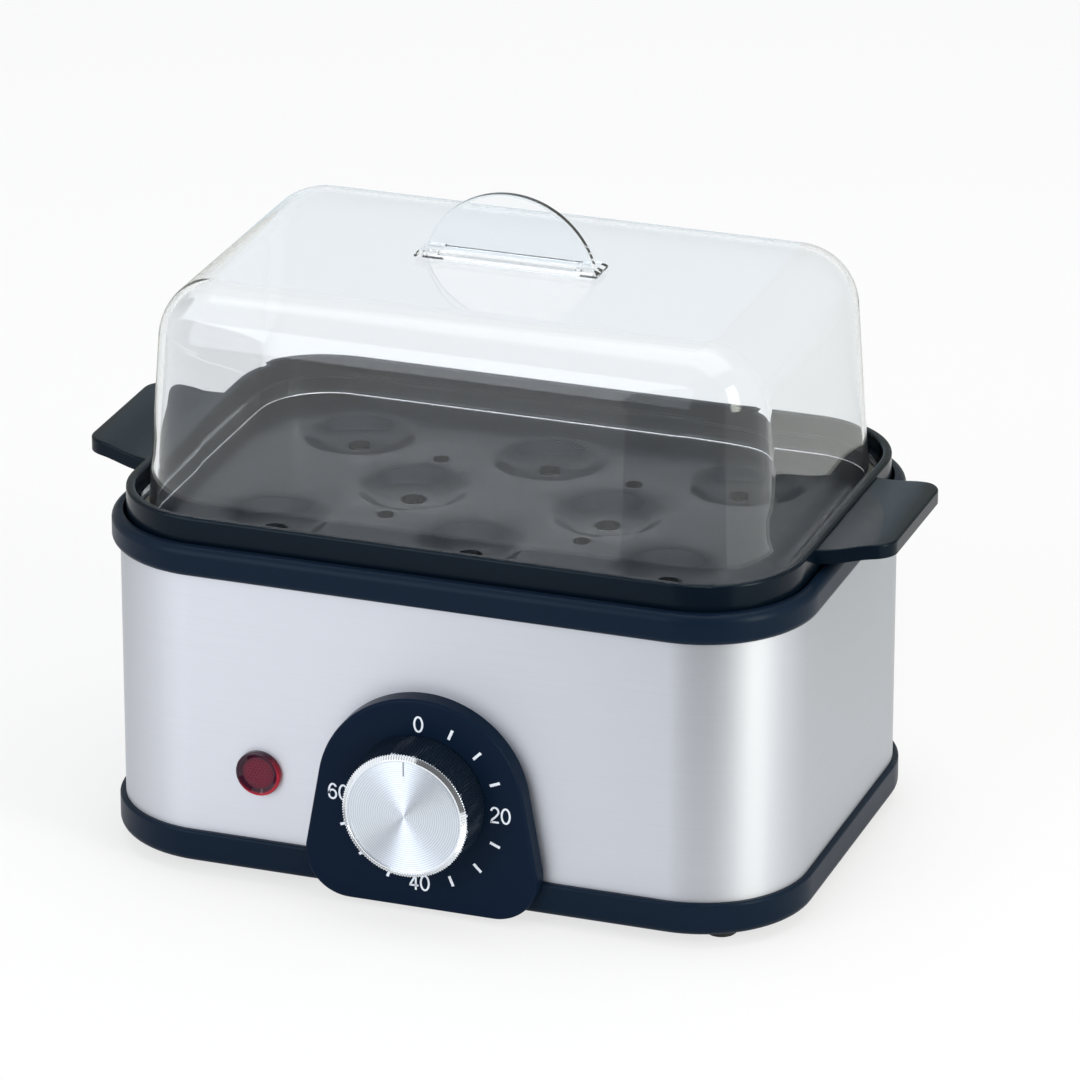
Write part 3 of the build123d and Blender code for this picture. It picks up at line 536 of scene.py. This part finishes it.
def new_piece(name: str, corners: list, faces: list, material: Material) -> bpy.types.Object:
    """Make an object from corners and faces, with its normals outwards.

    Args:
        name: The new piece's name.
        corners: Corner points in metres.
        faces: Faces as lists of corner numbers.
        material: The material it gets.

    Returns:
        The new object.
    """
    mesh = bpy.data.meshes.new(name)
    mesh.from_pydata([tuple(corner) for corner in corners], [], faces)
    shell = bmesh.new()
    shell.from_mesh(mesh)
    bmesh.ops.recalc_face_normals(shell, faces=shell.faces)
    shell.to_mesh(mesh)
    shell.free()
    mesh.materials.append(material)
    return add_object(name, mesh)


def finish_piece(obj: bpy.types.Object, body: Body) -> None:
    """Let a new piece ride on its body.

    Args:
        obj: The piece.
        body: The body that carries it.
    """
    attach(obj, body.value)
    LOG.info("piece %s: %d faces on %s", obj.name, len(obj.data.polygons), body.value)


class GeometryTree(GroupTree):
    """Geometry Nodes tree for one piece, set out from its Centre input on an axis along Y."""

    def __init__(self, name: str, values: dict[str, object]) -> None:
        """Start the tree.

        Args:
            name: Name of the tree and of the piece that it makes.
            values: Input names with their values, Centre and Material among them.
        """
        kinds = {title: type(value) for title, value in values.items()}
        super().__init__(name, "GeometryNodeTree", kinds, {"Geometry": "NodeSocketGeometry"})
        self.name = name
        self.values = values

    def index(self) -> Socket:
        """Give each point's number."""
        return self.node("GeometryNodeInputIndex").outputs["Index"]

    def position(self) -> Socket:
        """Give each point's place."""
        return self.node("GeometryNodeInputPosition").outputs["Position"]

    def spot(self, x: object, y: object, z: object) -> Socket:
        """Give the place that lies by three distances, numbers or sockets, from the Centre input."""
        offset = self.node("ShaderNodeCombineXYZ", {"X": x, "Y": y, "Z": z}).outputs["Vector"]
        return self.vector("ADD", offset, self.value("Centre"))

    def spot_round(self, turn: Socket, reach: Socket,
                   depth: object = 0.0) -> Socket:
        """Give the place that lies at a turn round the axis.

        Args:
            turn: Turn from the top, clockwise from the front, in radians.
            reach: Distance from the axis.
            depth: Distance along the axis, as a number or a socket.

        Returns:
            The place's socket.
        """
        across = self.math("MULTIPLY", self.math("SINE", turn), reach)
        up = self.math("MULTIPLY", self.math("COSINE", turn), reach)
        return self.spot(across, depth, up)

    def settle(self, mesh: Socket, place: Socket) -> Socket:
        """Move a mesh's points to their places and give the mesh."""
        settled = self.node("GeometryNodeSetPosition", {"Geometry": mesh, "Position": place})
        return settled.outputs["Geometry"]

    def copies(self, points: Socket, shape: Socket,
               **inputs: Socket) -> Socket:
        """Set copies of a shape on points, with other inputs such as Selection, and give them."""
        copied = self.node("GeometryNodeInstanceOnPoints", {"Points": points, "Instance": shape} | inputs)
        return copied.outputs["Instances"]

    def blocks_round(self, slope: object = 0.0, **inputs: Socket) -> Socket:
        """Set blocks round the axis by the inputs Count, Step Angle, Radius and Size.

        Args:
            slope: How far each block leans, in radians, as a number or a socket.
            inputs: Sockets for other inputs of the copies, such as Selection.

        Returns:
            The blocks' socket.
        """
        line = self.node("GeometryNodeMeshLine", {"Count": self.value("Count")}).outputs["Mesh"]
        turn = self.math("MULTIPLY", self.index(), self.value("Step Angle"))
        points = self.settle(line, self.spot_round(turn, self.value("Radius")))
        lean = self.node("ShaderNodeCombineXYZ", {"X": slope, "Y": turn}).outputs["Vector"]
        rotation = self.node("FunctionNodeEulerToRotation", {"Euler": lean}).outputs["Rotation"]
        block = self.node("GeometryNodeMeshCube", {"Size": self.value("Size")}).outputs["Mesh"]
        return self.copies(points, block, Rotation=rotation, **inputs)

    def make(self, geometry: Socket) -> bpy.types.Object:
        """End the tree, run it, and keep its result as a plain mesh.

        Args:
            geometry: The socket that gives the whole shape.

        Returns:
            The new object, with no modifier on it.
        """
        real = self.node("GeometryNodeRealizeInstances", {"Geometry": geometry}).outputs["Geometry"]
        paint = self.node("GeometryNodeSetMaterial", {"Geometry": real, "Material": self.value("Material")})
        self.put("Geometry", paint.outputs["Geometry"])
        carrier = add_object(self.name + "_carrier", bpy.data.meshes.new(self.name + "_carrier"))
        modifier = carrier.modifiers.new("tree", "NODES")
        modifier.node_group = self.tree
        for title, value in self.values.items():
            modifier[self.identifiers[title]] = value
        graph = bpy.context.evaluated_depsgraph_get()
        mesh = bpy.data.meshes.new_from_object(carrier.evaluated_get(graph))
        bpy.data.objects.remove(carrier)
        mesh.materials.clear()
        mesh.materials.append(self.values["Material"])
        mesh.polygons.foreach_set("material_index", [0] * len(mesh.polygons))
        return add_object(self.name, mesh)


# Printed numbers


def arc(middle: Pair, reach: Pair, start: float, end: float) -> list[Pair]:
    """Points along part of an ellipse.

    Args:
        middle: The ellipse's middle.
        reach: Its half width and half height.
        start: First angle in degrees, counted from the right and upwards.
        end: Last angle in degrees.

    Returns:
        The points.
    """
    steps = 28
    turns = [math.radians(start + (end - start) * i / steps) for i in range(steps + 1)]
    return [(middle[0] + reach[0] * math.cos(t), middle[1] + reach[1] * math.sin(t)) for t in turns]


def digit_strokes(digit: str) -> list[tuple[list[Pair], bool]]:
    """Middle lines of one digit's strokes, in a box one unit high.

    Args:
        digit: One of 0, 2, 4 and 6.

    Returns:
        Point lists, each with a flag that tells whether it closes on itself.
    """
    low, high = 0.05, 0.95
    strokes = {
        "0": [(arc((0.28, 0.5), (0.245, 0.45), 0, 360)[:-1], True)],
        "2": [(arc((0.28, 0.7), (0.22, 0.25), 172, -28) + [(0.3, 0.36), (0.12, 0.2), (0.06, low)], False),
              ([(0.01, low), (0.52, low)], False)],
        "4": [([(0.39, 0.0), (0.39, 1.0)], False), ([(0.40, high), (0.04, 0.29)], False),
              ([(0.0, 0.28), (0.55, 0.28)], False)],
        "6": [(arc((0.28, 0.32), (0.22, 0.27), 0, 360)[:-1], True),
              (arc((0.30, 0.50), (0.24, 0.45), 205, 90) + arc((0.30, 0.73), (0.19, 0.22), 85, 15), False)],
    }
    return strokes[digit]


def stroke_ribbon(points: list[Pair], closed: bool, width: float) -> tuple[list, list]:
    """Give a stroke its width and a thickness of one unit to each side.

    Args:
        points: The stroke's middle line.
        closed: Whether it closes on itself.
        width: The stroke's width.

    Returns:
        Corners as across, up and depth, and the faces between them.
    """
    count = len(points)
    corners = []
    for i, (x, y) in enumerate(points):
        before = points[i - 1] if closed or i else points[i]
        after = points[(i + 1) % count] if closed or i + 1 < count else points[i]
        run = Vector((after[0] - before[0], after[1] - before[1])).normalized() * width / 2
        for side, depth in ((1, -1), (-1, -1), (-1, 1), (1, 1)):
            corners.append((x - side * run.y, y + side * run.x, depth))
    faces = []
    for i in range(count if closed else count - 1):
        a, b = 4 * i, 4 * ((i + 1) % count)
        faces += [(a + k, b + k, b + (k + 1) % 4, a + (k + 1) % 4) for k in range(4)]
    if not closed:
        last = 4 * (count - 1)
        faces += [(0, 1, 2, 3), (last, last + 1, last + 2, last + 3)]
    return corners, faces


# Sub-assemblies


@dataclass
class BodyShell:
    """Base moulding, brushed sleeve, rim, feet and the screws that join them."""

    def dress(self) -> None:
        """Finish the outer nodes and what joins them."""
        dress_nodes(FINISH.satin_black, "base_tray", "top_rim", "pan_carrier", "cord_gland")
        dress_nodes(FINISH.steel, "steel_sleeve")
        dress_nodes(FINISH.zinc, "tie_posts", "body_screws", "gland_nut")
        dress_nodes(FINISH.foot_rubber, "feet")
        dress_nodes(FINISH.ceramic, "terminal_block")


@dataclass
class Heater:
    """Water pan with its seal, heater tube, thermostat and fuse."""

    def dress(self) -> None:
        """Finish the pan and what hangs under it."""
        dress_nodes(FINISH.pan_coat, "heating_pan")
        dress_nodes(FINISH.seal_rubber, "pan_gasket")
        dress_nodes(FINISH.sheath, "heating_element")
        dress_nodes(FINISH.ceramic, "element_collars")
        dress_nodes(FINISH.brown, "thermostat")
        dress_nodes(FINISH.brass, "thermal_fuse")
        dress_nodes(FINISH.zinc, "pan_screws", "element_pins", "thermostat_bracket", "bracket_screws",
                    "fuse_clip")


@dataclass
class TimerPanel:
    """Arched timer panel with its printed scale, and the timer behind it."""

    mark_radius: float = 22.2 * MM
    print_drop: float = 1.3 * MM
    mark_length: float = 2.9 * MM
    mark_width: float = 0.75 * MM
    print_depth: float = 0.06 * MM
    steps: int = 12
    step_degrees: float = 22.5
    steps_per_number: int = 4
    minutes_per_step: int = 5
    number_height: float = 4.5 * MM
    digit_pitch_share: float = 0.66
    stroke_share: float = 0.115

    def dress(self) -> None:
        """Finish the panel and the timer's nodes."""
        dress_nodes(FINISH.panel_black, "timer_bezel")
        dress_nodes(FINISH.brass, "timer_tabs")
        dress_nodes(FINISH.bell, "timer_bell")
        dress_nodes(FINISH.zinc, "timer_plate", "timer_case", "timer_screws")

    def centre(self) -> Vector:
        """Find the middle of the printed scale, on the panel's front a little under the dial's axis.

        Returns:
            The point.
        """
        hinge = next(joint for joint in frame["joints"] if joint["name"] == "knob_turn")
        low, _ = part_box("timer_bezel")
        return Vector((hinge["pos_m"][0], low.y, hinge["pos_m"][2] - self.print_drop))

    def build_marks(self) -> None:
        """Print the short marks between the numbers, all from one tree."""
        tree = GeometryTree("dial_marks", {
            "Count": self.steps + 1,
            "Step Angle": math.radians(self.step_degrees),
            "Skip": self.steps_per_number,
            "Radius": self.mark_radius,
            "Size": (self.mark_width, 2 * self.print_depth, self.mark_length),
            "Centre": tuple(self.centre()),
            "Material": FINISH.print_white.material(),
        })
        past_number = tree.math("MODULO", tree.index(), tree.value("Skip"))
        marks = tree.blocks_round(Selection=tree.math("GREATER_THAN", past_number, 0.5))
        finish_piece(tree.make(marks), Body.BASE)

    def build_numbers(self) -> None:
        """Print the minute numbers upright round the dial, each drawn as plain strokes."""
        corners, faces = [], []
        for step in range(0, self.steps + 1, self.steps_per_number):
            turn = math.radians(step * self.step_degrees)
            spot = self.centre() + Vector((math.sin(turn), 0.0, math.cos(turn))) * self.mark_radius
            text = str(step * self.minutes_per_step)
            for place, digit in enumerate(text):
                left = (place - len(text) / 2) * self.digit_pitch_share
                for path, closed in digit_strokes(digit):
                    points = [(x + left, y - 0.5) for x, y in path]
                    ribbon, quads = stroke_ribbon(points, closed, self.stroke_share)
                    first = len(corners)
                    corners += [spot + Vector((x * self.number_height, depth * self.print_depth,
                                               y * self.number_height)) for x, y, depth in ribbon]
                    faces += [tuple(first + corner for corner in quad) for quad in quads]
        numbers = new_piece("dial_numbers", corners, faces, FINISH.print_white.material())
        finish_piece(numbers, Body.BASE)


@dataclass
class TimerKnob:
    """Fluted knob with its spun cap."""

    flute_crease: float = 20.0
    ring_depth: float = 0.05 * MM
    face_gap: float = 0.02 * MM
    face_drop: float = 0.3 * MM
    face_inset: float = 1.75 * MM
    rings_per_pitch: int = 2
    turn_steps: int = 144
    bevel_width: float = 1.0 * MM
    bevel_depth: float = 0.9 * MM
    edge_depth: float = 0.35 * MM
    teeth: int = 144
    tooth_size: Triple = (0.36 * MM, 0.3 * MM, 1.2 * MM)
    pointer_length: float = 4.0 * MM
    pointer_width: float = 0.4 * MM
    pointer_proud: float = 0.1 * MM

    def dress(self) -> None:
        """Finish the knob's nodes."""
        dress_nodes(FINISH.knob_black, "knob_body", crease=self.flute_crease)
        dress_nodes(FINISH.bevel, "knob_cap")
        dress_nodes(FINISH.brass, "timer_shaft")

    def cap(self) -> tuple[Vector, float]:
        """Give the middle of the cap's front and the cap's radius."""
        low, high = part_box("knob_cap")
        return Vector(((low.x + high.x) / 2, low.y, (low.z + high.z) / 2)), (high.x - low.x) / 2

    def build_face(self) -> None:
        """Turn the cap's face: a disc with fine concentric grooves, from one tree."""
        front, cap_radius = self.cap()
        radius = cap_radius - self.face_inset
        pitch = FINISH.spun.pitch
        tree = GeometryTree("cap_spun_face", {
            "Radius": radius,
            "Pitch": pitch,
            "Depth": -2 * self.ring_depth,
            "Rings": round(radius / pitch) * self.rings_per_pitch + 1,
            "Turns": self.turn_steps + 1,
            "Centre": (front.x, front.y + self.face_drop - self.face_gap, front.z),
            "Material": FINISH.spun.material(front),
        })
        grid = tree.node("GeometryNodeMeshGrid", {
            "Size X": 1.0, "Size Y": 1.0,
            "Vertices X": tree.value("Turns"), "Vertices Y": tree.value("Rings")})
        cell = tree.node("ShaderNodeSeparateXYZ", {"Vector": tree.position()}).outputs
        turn = tree.math("MULTIPLY", tree.math("ADD", cell["X"], 0.5), math.tau)
        reach = tree.math("MULTIPLY", tree.math("ADD", cell["Y"], 0.5), tree.value("Radius"))
        wave = tree.math("PINGPONG", tree.math("DIVIDE", reach, tree.value("Pitch")), 0.5)
        groove = tree.math("MULTIPLY", wave, tree.value("Depth"))
        disc = tree.settle(grid.outputs["Mesh"], tree.spot_round(turn, reach, groove))
        weld = tree.node("GeometryNodeMergeByDistance", {"Geometry": disc, "Distance": MERGE_DISTANCE})
        finish_piece(tree.make(weld.outputs["Geometry"]), Body.KNOB)

    def build_teeth(self) -> None:
        """Cut the fine teeth round the cap's bevel, all from one tree."""
        front, cap_radius = self.cap()
        tree = GeometryTree("cap_teeth", {
            "Count": self.teeth,
            "Step Angle": math.tau / self.teeth,
            "Radius": cap_radius - self.edge_depth - self.bevel_width / 2,
            "Slope": -math.atan2(self.bevel_depth, self.bevel_width),
            "Size": self.tooth_size,
            "Centre": (front.x, front.y + self.bevel_depth / 2, front.z),
            "Material": FINISH.bevel.material(),
        })
        finish_piece(tree.make(tree.blocks_round(tree.value("Slope"))), Body.KNOB)

    def build_pointer(self) -> None:
        """Engrave the pointer line at the top of the cap's face."""
        front, cap_radius = self.cap()
        top = front.z + cap_radius - self.face_inset
        start = front.y + self.face_drop - self.pointer_proud
        half = self.pointer_width / 2
        corners = [(front.x + side, start + depth, top - down)
                   for side in (-half, half) for depth in (0.0, self.face_drop)
                   for down in (0.0, self.pointer_length)]
        faces = [(0, 1, 5, 4), (2, 6, 7, 3), (0, 2, 3, 1), (4, 5, 7, 6), (0, 4, 6, 2), (1, 3, 7, 5)]
        line = new_piece("cap_pointer", corners, faces, FINISH.engraved.material())
        finish_piece(line, Body.KNOB)


@dataclass
class IndicatorLamp:
    """Red indicator lens with its holder and lamp."""

    dish_depth: float = 0.9 * MM
    dish_radius: float = 4.3 * MM
    pip_pitch: float = 0.95 * MM
    pip_radius: float = 0.19 * MM
    pip_rows: int = 13
    pip_rounds: int = 2
    row_share: float = math.sqrt(3) / 2

    def lens_material(self) -> Material:
        """Give the lens's material, set out round the lens's middle."""
        low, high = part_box("lamp_lens")
        return FINISH.lens_red.material((low + high) / 2, (high.x - low.x) / 2)

    def dress(self) -> None:
        """Finish the lamp's nodes."""
        dress_nodes(self.lens_material(), "lamp_lens")
        dress_nodes(FINISH.satin_black, "lamp_holder")
        dress_nodes(FINISH.lamp_glass, "neon_lamp")

    def build_pips(self) -> None:
        """Raise rows of small pips on the floor of the lens's dish, all from one tree."""
        low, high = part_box("lamp_lens")
        tree = GeometryTree("lens_pips", {
            "Rows": self.pip_rows,
            "Pitch": self.pip_pitch,
            "Row Share": self.row_share,
            "Pip": self.pip_radius,
            "Rounds": self.pip_rounds,
            "Reach": self.dish_radius - self.pip_radius,
            "Centre": ((low.x + high.x) / 2, low.y + self.dish_depth, (low.z + high.z) / 2),
            "Material": self.lens_material(),
        })
        rows, pitch = tree.value("Rows"), tree.value("Pitch")
        span = tree.math("MULTIPLY", tree.math("SUBTRACT", rows, 1.0), pitch)
        grid = tree.node("GeometryNodeMeshGrid", {
            "Size X": span, "Size Y": span, "Vertices X": rows, "Vertices Y": rows})
        cell = tree.node("ShaderNodeSeparateXYZ", {"Vector": tree.position()}).outputs
        odd_row = tree.math("PINGPONG", tree.math("ROUND", tree.math("DIVIDE", cell["Y"], pitch)), 1.0)
        shift = tree.math("MULTIPLY", tree.math("MULTIPLY", odd_row, 0.5), pitch)
        across = tree.math("ADD", cell["X"], shift)
        up = tree.math("MULTIPLY", cell["Y"], tree.value("Row Share"))
        points = tree.settle(grid.outputs["Mesh"], tree.spot(across, 0.0, up))
        reach = tree.vector("DISTANCE", tree.position(), tree.value("Centre"))
        inside = tree.math("LESS_THAN", reach, tree.value("Reach"))
        pip = tree.node("GeometryNodeMeshIcoSphere", {
            "Radius": tree.value("Pip"), "Subdivisions": tree.value("Rounds")})
        pips = tree.copies(points, pip.outputs["Mesh"], Selection=inside)
        finish_piece(tree.make(pips), Body.BASE)


@dataclass
class Tray:
    """Lift-out egg tray with wing handles."""

    def dress(self) -> None:
        """Finish the tray."""
        dress_nodes(FINISH.tray_black, "egg_tray")


@dataclass
class Lid:
    """Clear lift-off lid with its finger tab."""

    corner: float = 23.6 * MM
    flange_height: float = 5.0 * MM
    flange_lip: float = 2.4 * MM
    flange_round: float = 0.9 * MM
    wall: float = 1.8 * MM
    draft_degrees: float = 4.2
    top_round: float = 16.5 * MM
    air_film: float = 0.05 * MM
    arc_steps: int = 24
    bead_steps: int = 6
    crease: float = 40.0

    def dome(self, inset: float, height: float, top_round: float) -> list[Pair]:
        """Profile of one drafted, round-topped wall above the flange.

        Args:
            inset: How far the wall's foot is drawn in from the flange's outline.
            height: Height of its top.
            top_round: Radius of its top edge.

        Returns:
            Pairs of inset and height along the rounded edge, from the wall to the top.
        """
        draft = math.radians(self.draft_degrees)
        level = height - top_round
        touch = level + top_round * math.sin(draft)
        middle = inset + touch * math.tan(draft) + top_round * math.cos(draft)
        angles = [draft + (math.pi / 2 - draft) * i / self.arc_steps for i in range(self.arc_steps + 1)]
        return [(middle - top_round * math.cos(a), level + top_round * math.sin(a)) for a in angles]

    def bead(self) -> list[Pair]:
        """Profile of the flange's rounded outer side, from its underside to its top.

        Returns:
            Pairs of inset and height.
        """
        bend = self.flange_round
        turns = [math.pi / 2 * i / self.bead_steps for i in range(self.bead_steps + 1)]
        low = [(bend - bend * math.sin(a), bend - bend * math.cos(a)) for a in turns]
        return low + [(inset, self.flange_height - level) for inset, level in reversed(low)]

    def profile(self, height: float) -> list[Pair]:
        """Whole section of the lid, from inside its top round the flange to outside its top.

        Args:
            height: The lid's overall height.

        Returns:
            Pairs of inset and height.
        """
        slope = math.tan(math.radians(self.draft_degrees))
        inner_foot = self.flange_lip + self.wall
        inner = self.dome(inner_foot, height - self.wall, self.top_round - self.wall)
        outer = self.dome(self.flange_lip, height, self.top_round)
        root = (self.flange_lip + self.flange_height * slope, self.flange_height)
        return inner[::-1] + [(inner_foot, 0.0)] + self.bead() + [root] + outer

    def ring(self, low: Vector, high: Vector, inset: float, level: float) -> list[Vector]:
        """Rounded rectangle at one level, drawn in from the lid's outline.

        Args:
            low: Lowest corner of the lid's box.
            high: Highest corner of the lid's box.
            inset: How far the ring is drawn in.
            level: Its height above the lid's foot.

        Returns:
            Points round the ring.
        """
        radius = max(self.corner - inset, self.flange_round / 2)
        middle = (low + high) / 2
        reach_x = (high.x - low.x) / 2 - inset - radius
        reach_y = (high.y - low.y) / 2 - inset - radius
        points = []
        for quarter, (x, y) in enumerate(((1, 1), (-1, 1), (-1, -1), (1, -1))):
            for step in range(self.arc_steps + 1):
                turn = math.pi / 2 * (quarter + step / self.arc_steps)
                points.append(Vector((middle.x + x * reach_x + radius * math.cos(turn),
                                      middle.y + y * reach_y + radius * math.sin(turn), low.z + level)))
        return points

    def build_shell(self) -> None:
        """Draw the lid as rings along its section, fine enough for clean clear walls."""
        low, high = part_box("lid_shell")
        height = high.z - low.z - self.air_film
        rings = [self.ring(low, high, inset, level) for inset, level in self.profile(height)]
        count = len(rings[0])
        corners = [point for ring in rings for point in ring]
        faces = [list(range(count)), list(range(len(corners) - count, len(corners)))]
        for row in range(len(rings) - 1):
            for i in range(count):
                a, b = row * count + i, row * count + (i + 1) % count
                faces.append((a, b, b + count, a + count))
        shell = new_piece("lid_clear_shell", corners, faces, FINISH.clear.material())
        shell.data.polygons.foreach_set("use_smooth", [True] * len(shell.data.polygons))
        shell.data.set_sharp_from_angle(angle=math.radians(self.crease))
        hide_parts("lid_shell")
        finish_piece(shell, Body.LID)

    def dress(self) -> None:
        """Finish the lid's finger tab."""
        dress_nodes(FINISH.clear, "lid_handle")


# Studio


def add_sheet(name: str, corners: list, material: Material) -> bpy.types.Object:
    """Make one flat face for the studio.

    Args:
        name: The sheet's name.
        corners: Its corners in metres, in order.
        material: The material it gets.

    Returns:
        The new object.
    """
    mesh = bpy.data.meshes.new(name)
    mesh.from_pydata([tuple(corner) for corner in corners], [], [list(range(len(corners)))])
    mesh.materials.append(material)
    return add_object(name, mesh)


@dataclass
class Softbox:
    """One soft lamp aimed at the cooker."""

    name: str
    place: Triple
    size: Pair
    power: float
    colour: Colour = (1.0, 1.0, 1.0)

    def build(self, aim: Vector) -> None:
        """Hang the lamp and aim it.

        Args:
            aim: The point it faces.
        """
        lamp = bpy.data.lights.new(self.name, "AREA")
        lamp.shape = "RECTANGLE"
        lamp.size, lamp.size_y = self.size
        lamp.energy = self.power
        lamp.color = self.colour
        obj = add_object(self.name, lamp)
        obj.location = self.place
        obj.rotation_euler = (aim - Vector(self.place)).to_track_quat("-Z", "Y").to_euler()
        obj.visible_camera = False


@dataclass
class Card:
    """Upright grey card that only gloss sees, to shape what the metal shows."""

    name: str
    bearing: float
    distance: float
    width: float
    height: float
    level: float
    tint: Colour = (1.0, 1.0, 1.0)

    def build(self, middle: Vector) -> None:
        """Stand the card on the floor, facing the cooker.

        Args:
            middle: The point it stands round.
        """
        turn = math.radians(self.bearing)
        away = Vector((math.cos(turn), math.sin(turn), 0.0))
        along = Vector((-away.y, away.x, 0.0)) * self.width / 2
        foot = Vector((middle.x, middle.y, 0.0)) + away * self.distance
        rise = Vector((0.0, 0.0, self.height))
        corners = [foot - along, foot + along, foot + along + rise, foot - along + rise]
        tree = MaterialTree(self.name)
        tree.tree.nodes.remove(tree.shader)
        glow = tree.node("ShaderNodeEmission", {"Color": [self.level * share for share in self.tint]})
        tree.surface(glow.outputs["Emission"])
        card = add_sheet(self.name, corners, tree.material)
        for ray in ("camera", "diffuse", "transmission", "shadow", "volume_scatter"):
            setattr(card, "visible_" + ray, False)


WARM_GREY = (0.96, 1.0, 0.89)


@dataclass
class Studio:
    """Pale floor, soft light and the camera."""

    floor_radius: float = 4.0
    floor_sides: int = 96
    floor_colour: Colour = (0.86, 0.86, 0.87)
    floor_roughness: float = 0.9
    floor_specular: float = 0.1
    floor_white: float = 0.7
    floor_gloss: float = 0.3
    world_light: float = 0.55
    lamps: tuple[Softbox, ...] = (
        Softbox("front_left", (-0.9, -1.7, 0.9), (1.5, 1.5), power=19.0, colour=(0.91, 0.945, 1.0)),
        Softbox("right_strip", (1.5, -0.55, 0.5), (0.45, 1.4), power=17.0, colour=(1.0, 0.995, 0.86)),
        Softbox("overhead", (0.1, 0.2, 1.7), (1.6, 1.2), power=11.0),
    )
    cards: tuple[Card, ...] = (
        Card("front_right_card", bearing=-67.5, distance=0.26, width=0.28, height=0.5, level=0.15),
        Card("right_rear_card", bearing=60.0, distance=0.34, width=0.5, height=0.6, level=0.55,
             tint=WARM_GREY),
        Card("left_rear_card", bearing=156.0, distance=0.34, width=0.36, height=0.6, level=0.62,
             tint=WARM_GREY),
        Card("rear_card", bearing=100.0, distance=0.5, width=0.6, height=0.7, level=0.85,
             tint=(0.78, 0.92, 1.0)),
    )
    azimuth: float = 19.656
    elevation: float = 22.398
    distance: float = 1.9141
    aim: Triple = (0.00802, 0.0075, 0.07897)
    sensor: float = 36.0
    lens: float = 243.85

    def seen(self, tree: Tree, gloss: float = 1.0) -> Socket:
        """Mask of the rays that see the backdrop: camera, gloss and clear pieces.

        Args:
            tree: The material's or the world's tree.
            gloss: Value of the mask on gloss rays.

        Returns:
            A socket that is one on camera rays and in clear pieces.
        """
        path = tree.node("ShaderNodeLightPath").outputs
        shiny = tree.math("MULTIPLY", path["Is Glossy Ray"], gloss)
        direct = tree.math("MAXIMUM", path["Is Camera Ray"], shiny)
        return tree.math("MAXIMUM", direct, path["Is Transmission Ray"])

    def build_world(self) -> None:
        """White backdrop over an even, softer light."""
        world = bpy.data.worlds.new("studio")
        bpy.context.scene.world = world
        world.use_nodes = True
        tree = Tree(world.node_tree)
        level = tree.node("ShaderNodeMapRange", {"Value": self.seen(tree), "To Min": self.world_light})
        background = world.node_tree.nodes["Background"]
        tree.feed(background.inputs["Color"], (1.0, 1.0, 1.0))
        tree.feed(background.inputs["Strength"], level.outputs["Result"])

    def build_floor(self) -> None:
        """Round pale floor that keeps the cooker's soft shadow."""
        turns = [math.tau * i / self.floor_sides for i in range(self.floor_sides)]
        corners = [(self.floor_radius * math.cos(a), self.floor_radius * math.sin(a), 0.0) for a in turns]
        tree = MaterialTree("floor_paper")
        tree.shade({"Base Color": self.floor_colour, "Roughness": self.floor_roughness,
                    "Specular IOR Level": self.floor_specular})
        glow = tree.node("ShaderNodeEmission").outputs["Emission"]
        share = tree.math("MULTIPLY", self.seen(tree, self.floor_gloss), self.floor_white)
        mix = tree.node("ShaderNodeMixShader", {"Fac": share, 1: tree.shader.outputs["BSDF"], 2: glow})
        tree.surface(mix.outputs["Shader"])
        add_sheet("floor", corners, tree.material)

    def build_camera(self) -> None:
        """Camera at the photograph's angle."""
        turn, rise = math.radians(self.azimuth), math.radians(self.elevation)
        back = Vector((math.sin(turn) * math.cos(rise), -math.cos(turn) * math.cos(rise), math.sin(rise)))
        data = bpy.data.cameras.new("camera")
        data.sensor_width = self.sensor
        data.lens = self.lens
        camera = add_object("camera", data)
        camera.location = Vector(self.aim) + back * self.distance
        camera.rotation_euler = (-back).to_track_quat("-Z", "Y").to_euler()
        bpy.context.scene.camera = camera

    def build(self) -> None:
        """Set up the whole studio."""
        bpy.context.scene.view_settings.view_transform = "Standard"
        self.build_world()
        self.build_floor()
        for light in self.lamps + self.cards:
            light.build(Vector(self.aim))
        self.build_camera()


def main() -> None:
    """Dress and build the cooker's sub-assemblies, then the studio."""
    logging.basicConfig(level=logging.INFO, format="%(name)s: %(message)s")
    BodyShell().dress()
    Heater().dress()
    panel = TimerPanel()
    panel.dress()
    panel.build_marks()
    panel.build_numbers()
    knob = TimerKnob()
    knob.dress()
    knob.build_face()
    knob.build_teeth()
    knob.build_pointer()
    lamp = IndicatorLamp()
    lamp.dress()
    lamp.build_pips()
    Tray().dress()
    lid = Lid()
    lid.build_shell()
    lid.dress()
    Studio().build()


if __name__ == "__main__":
    main()
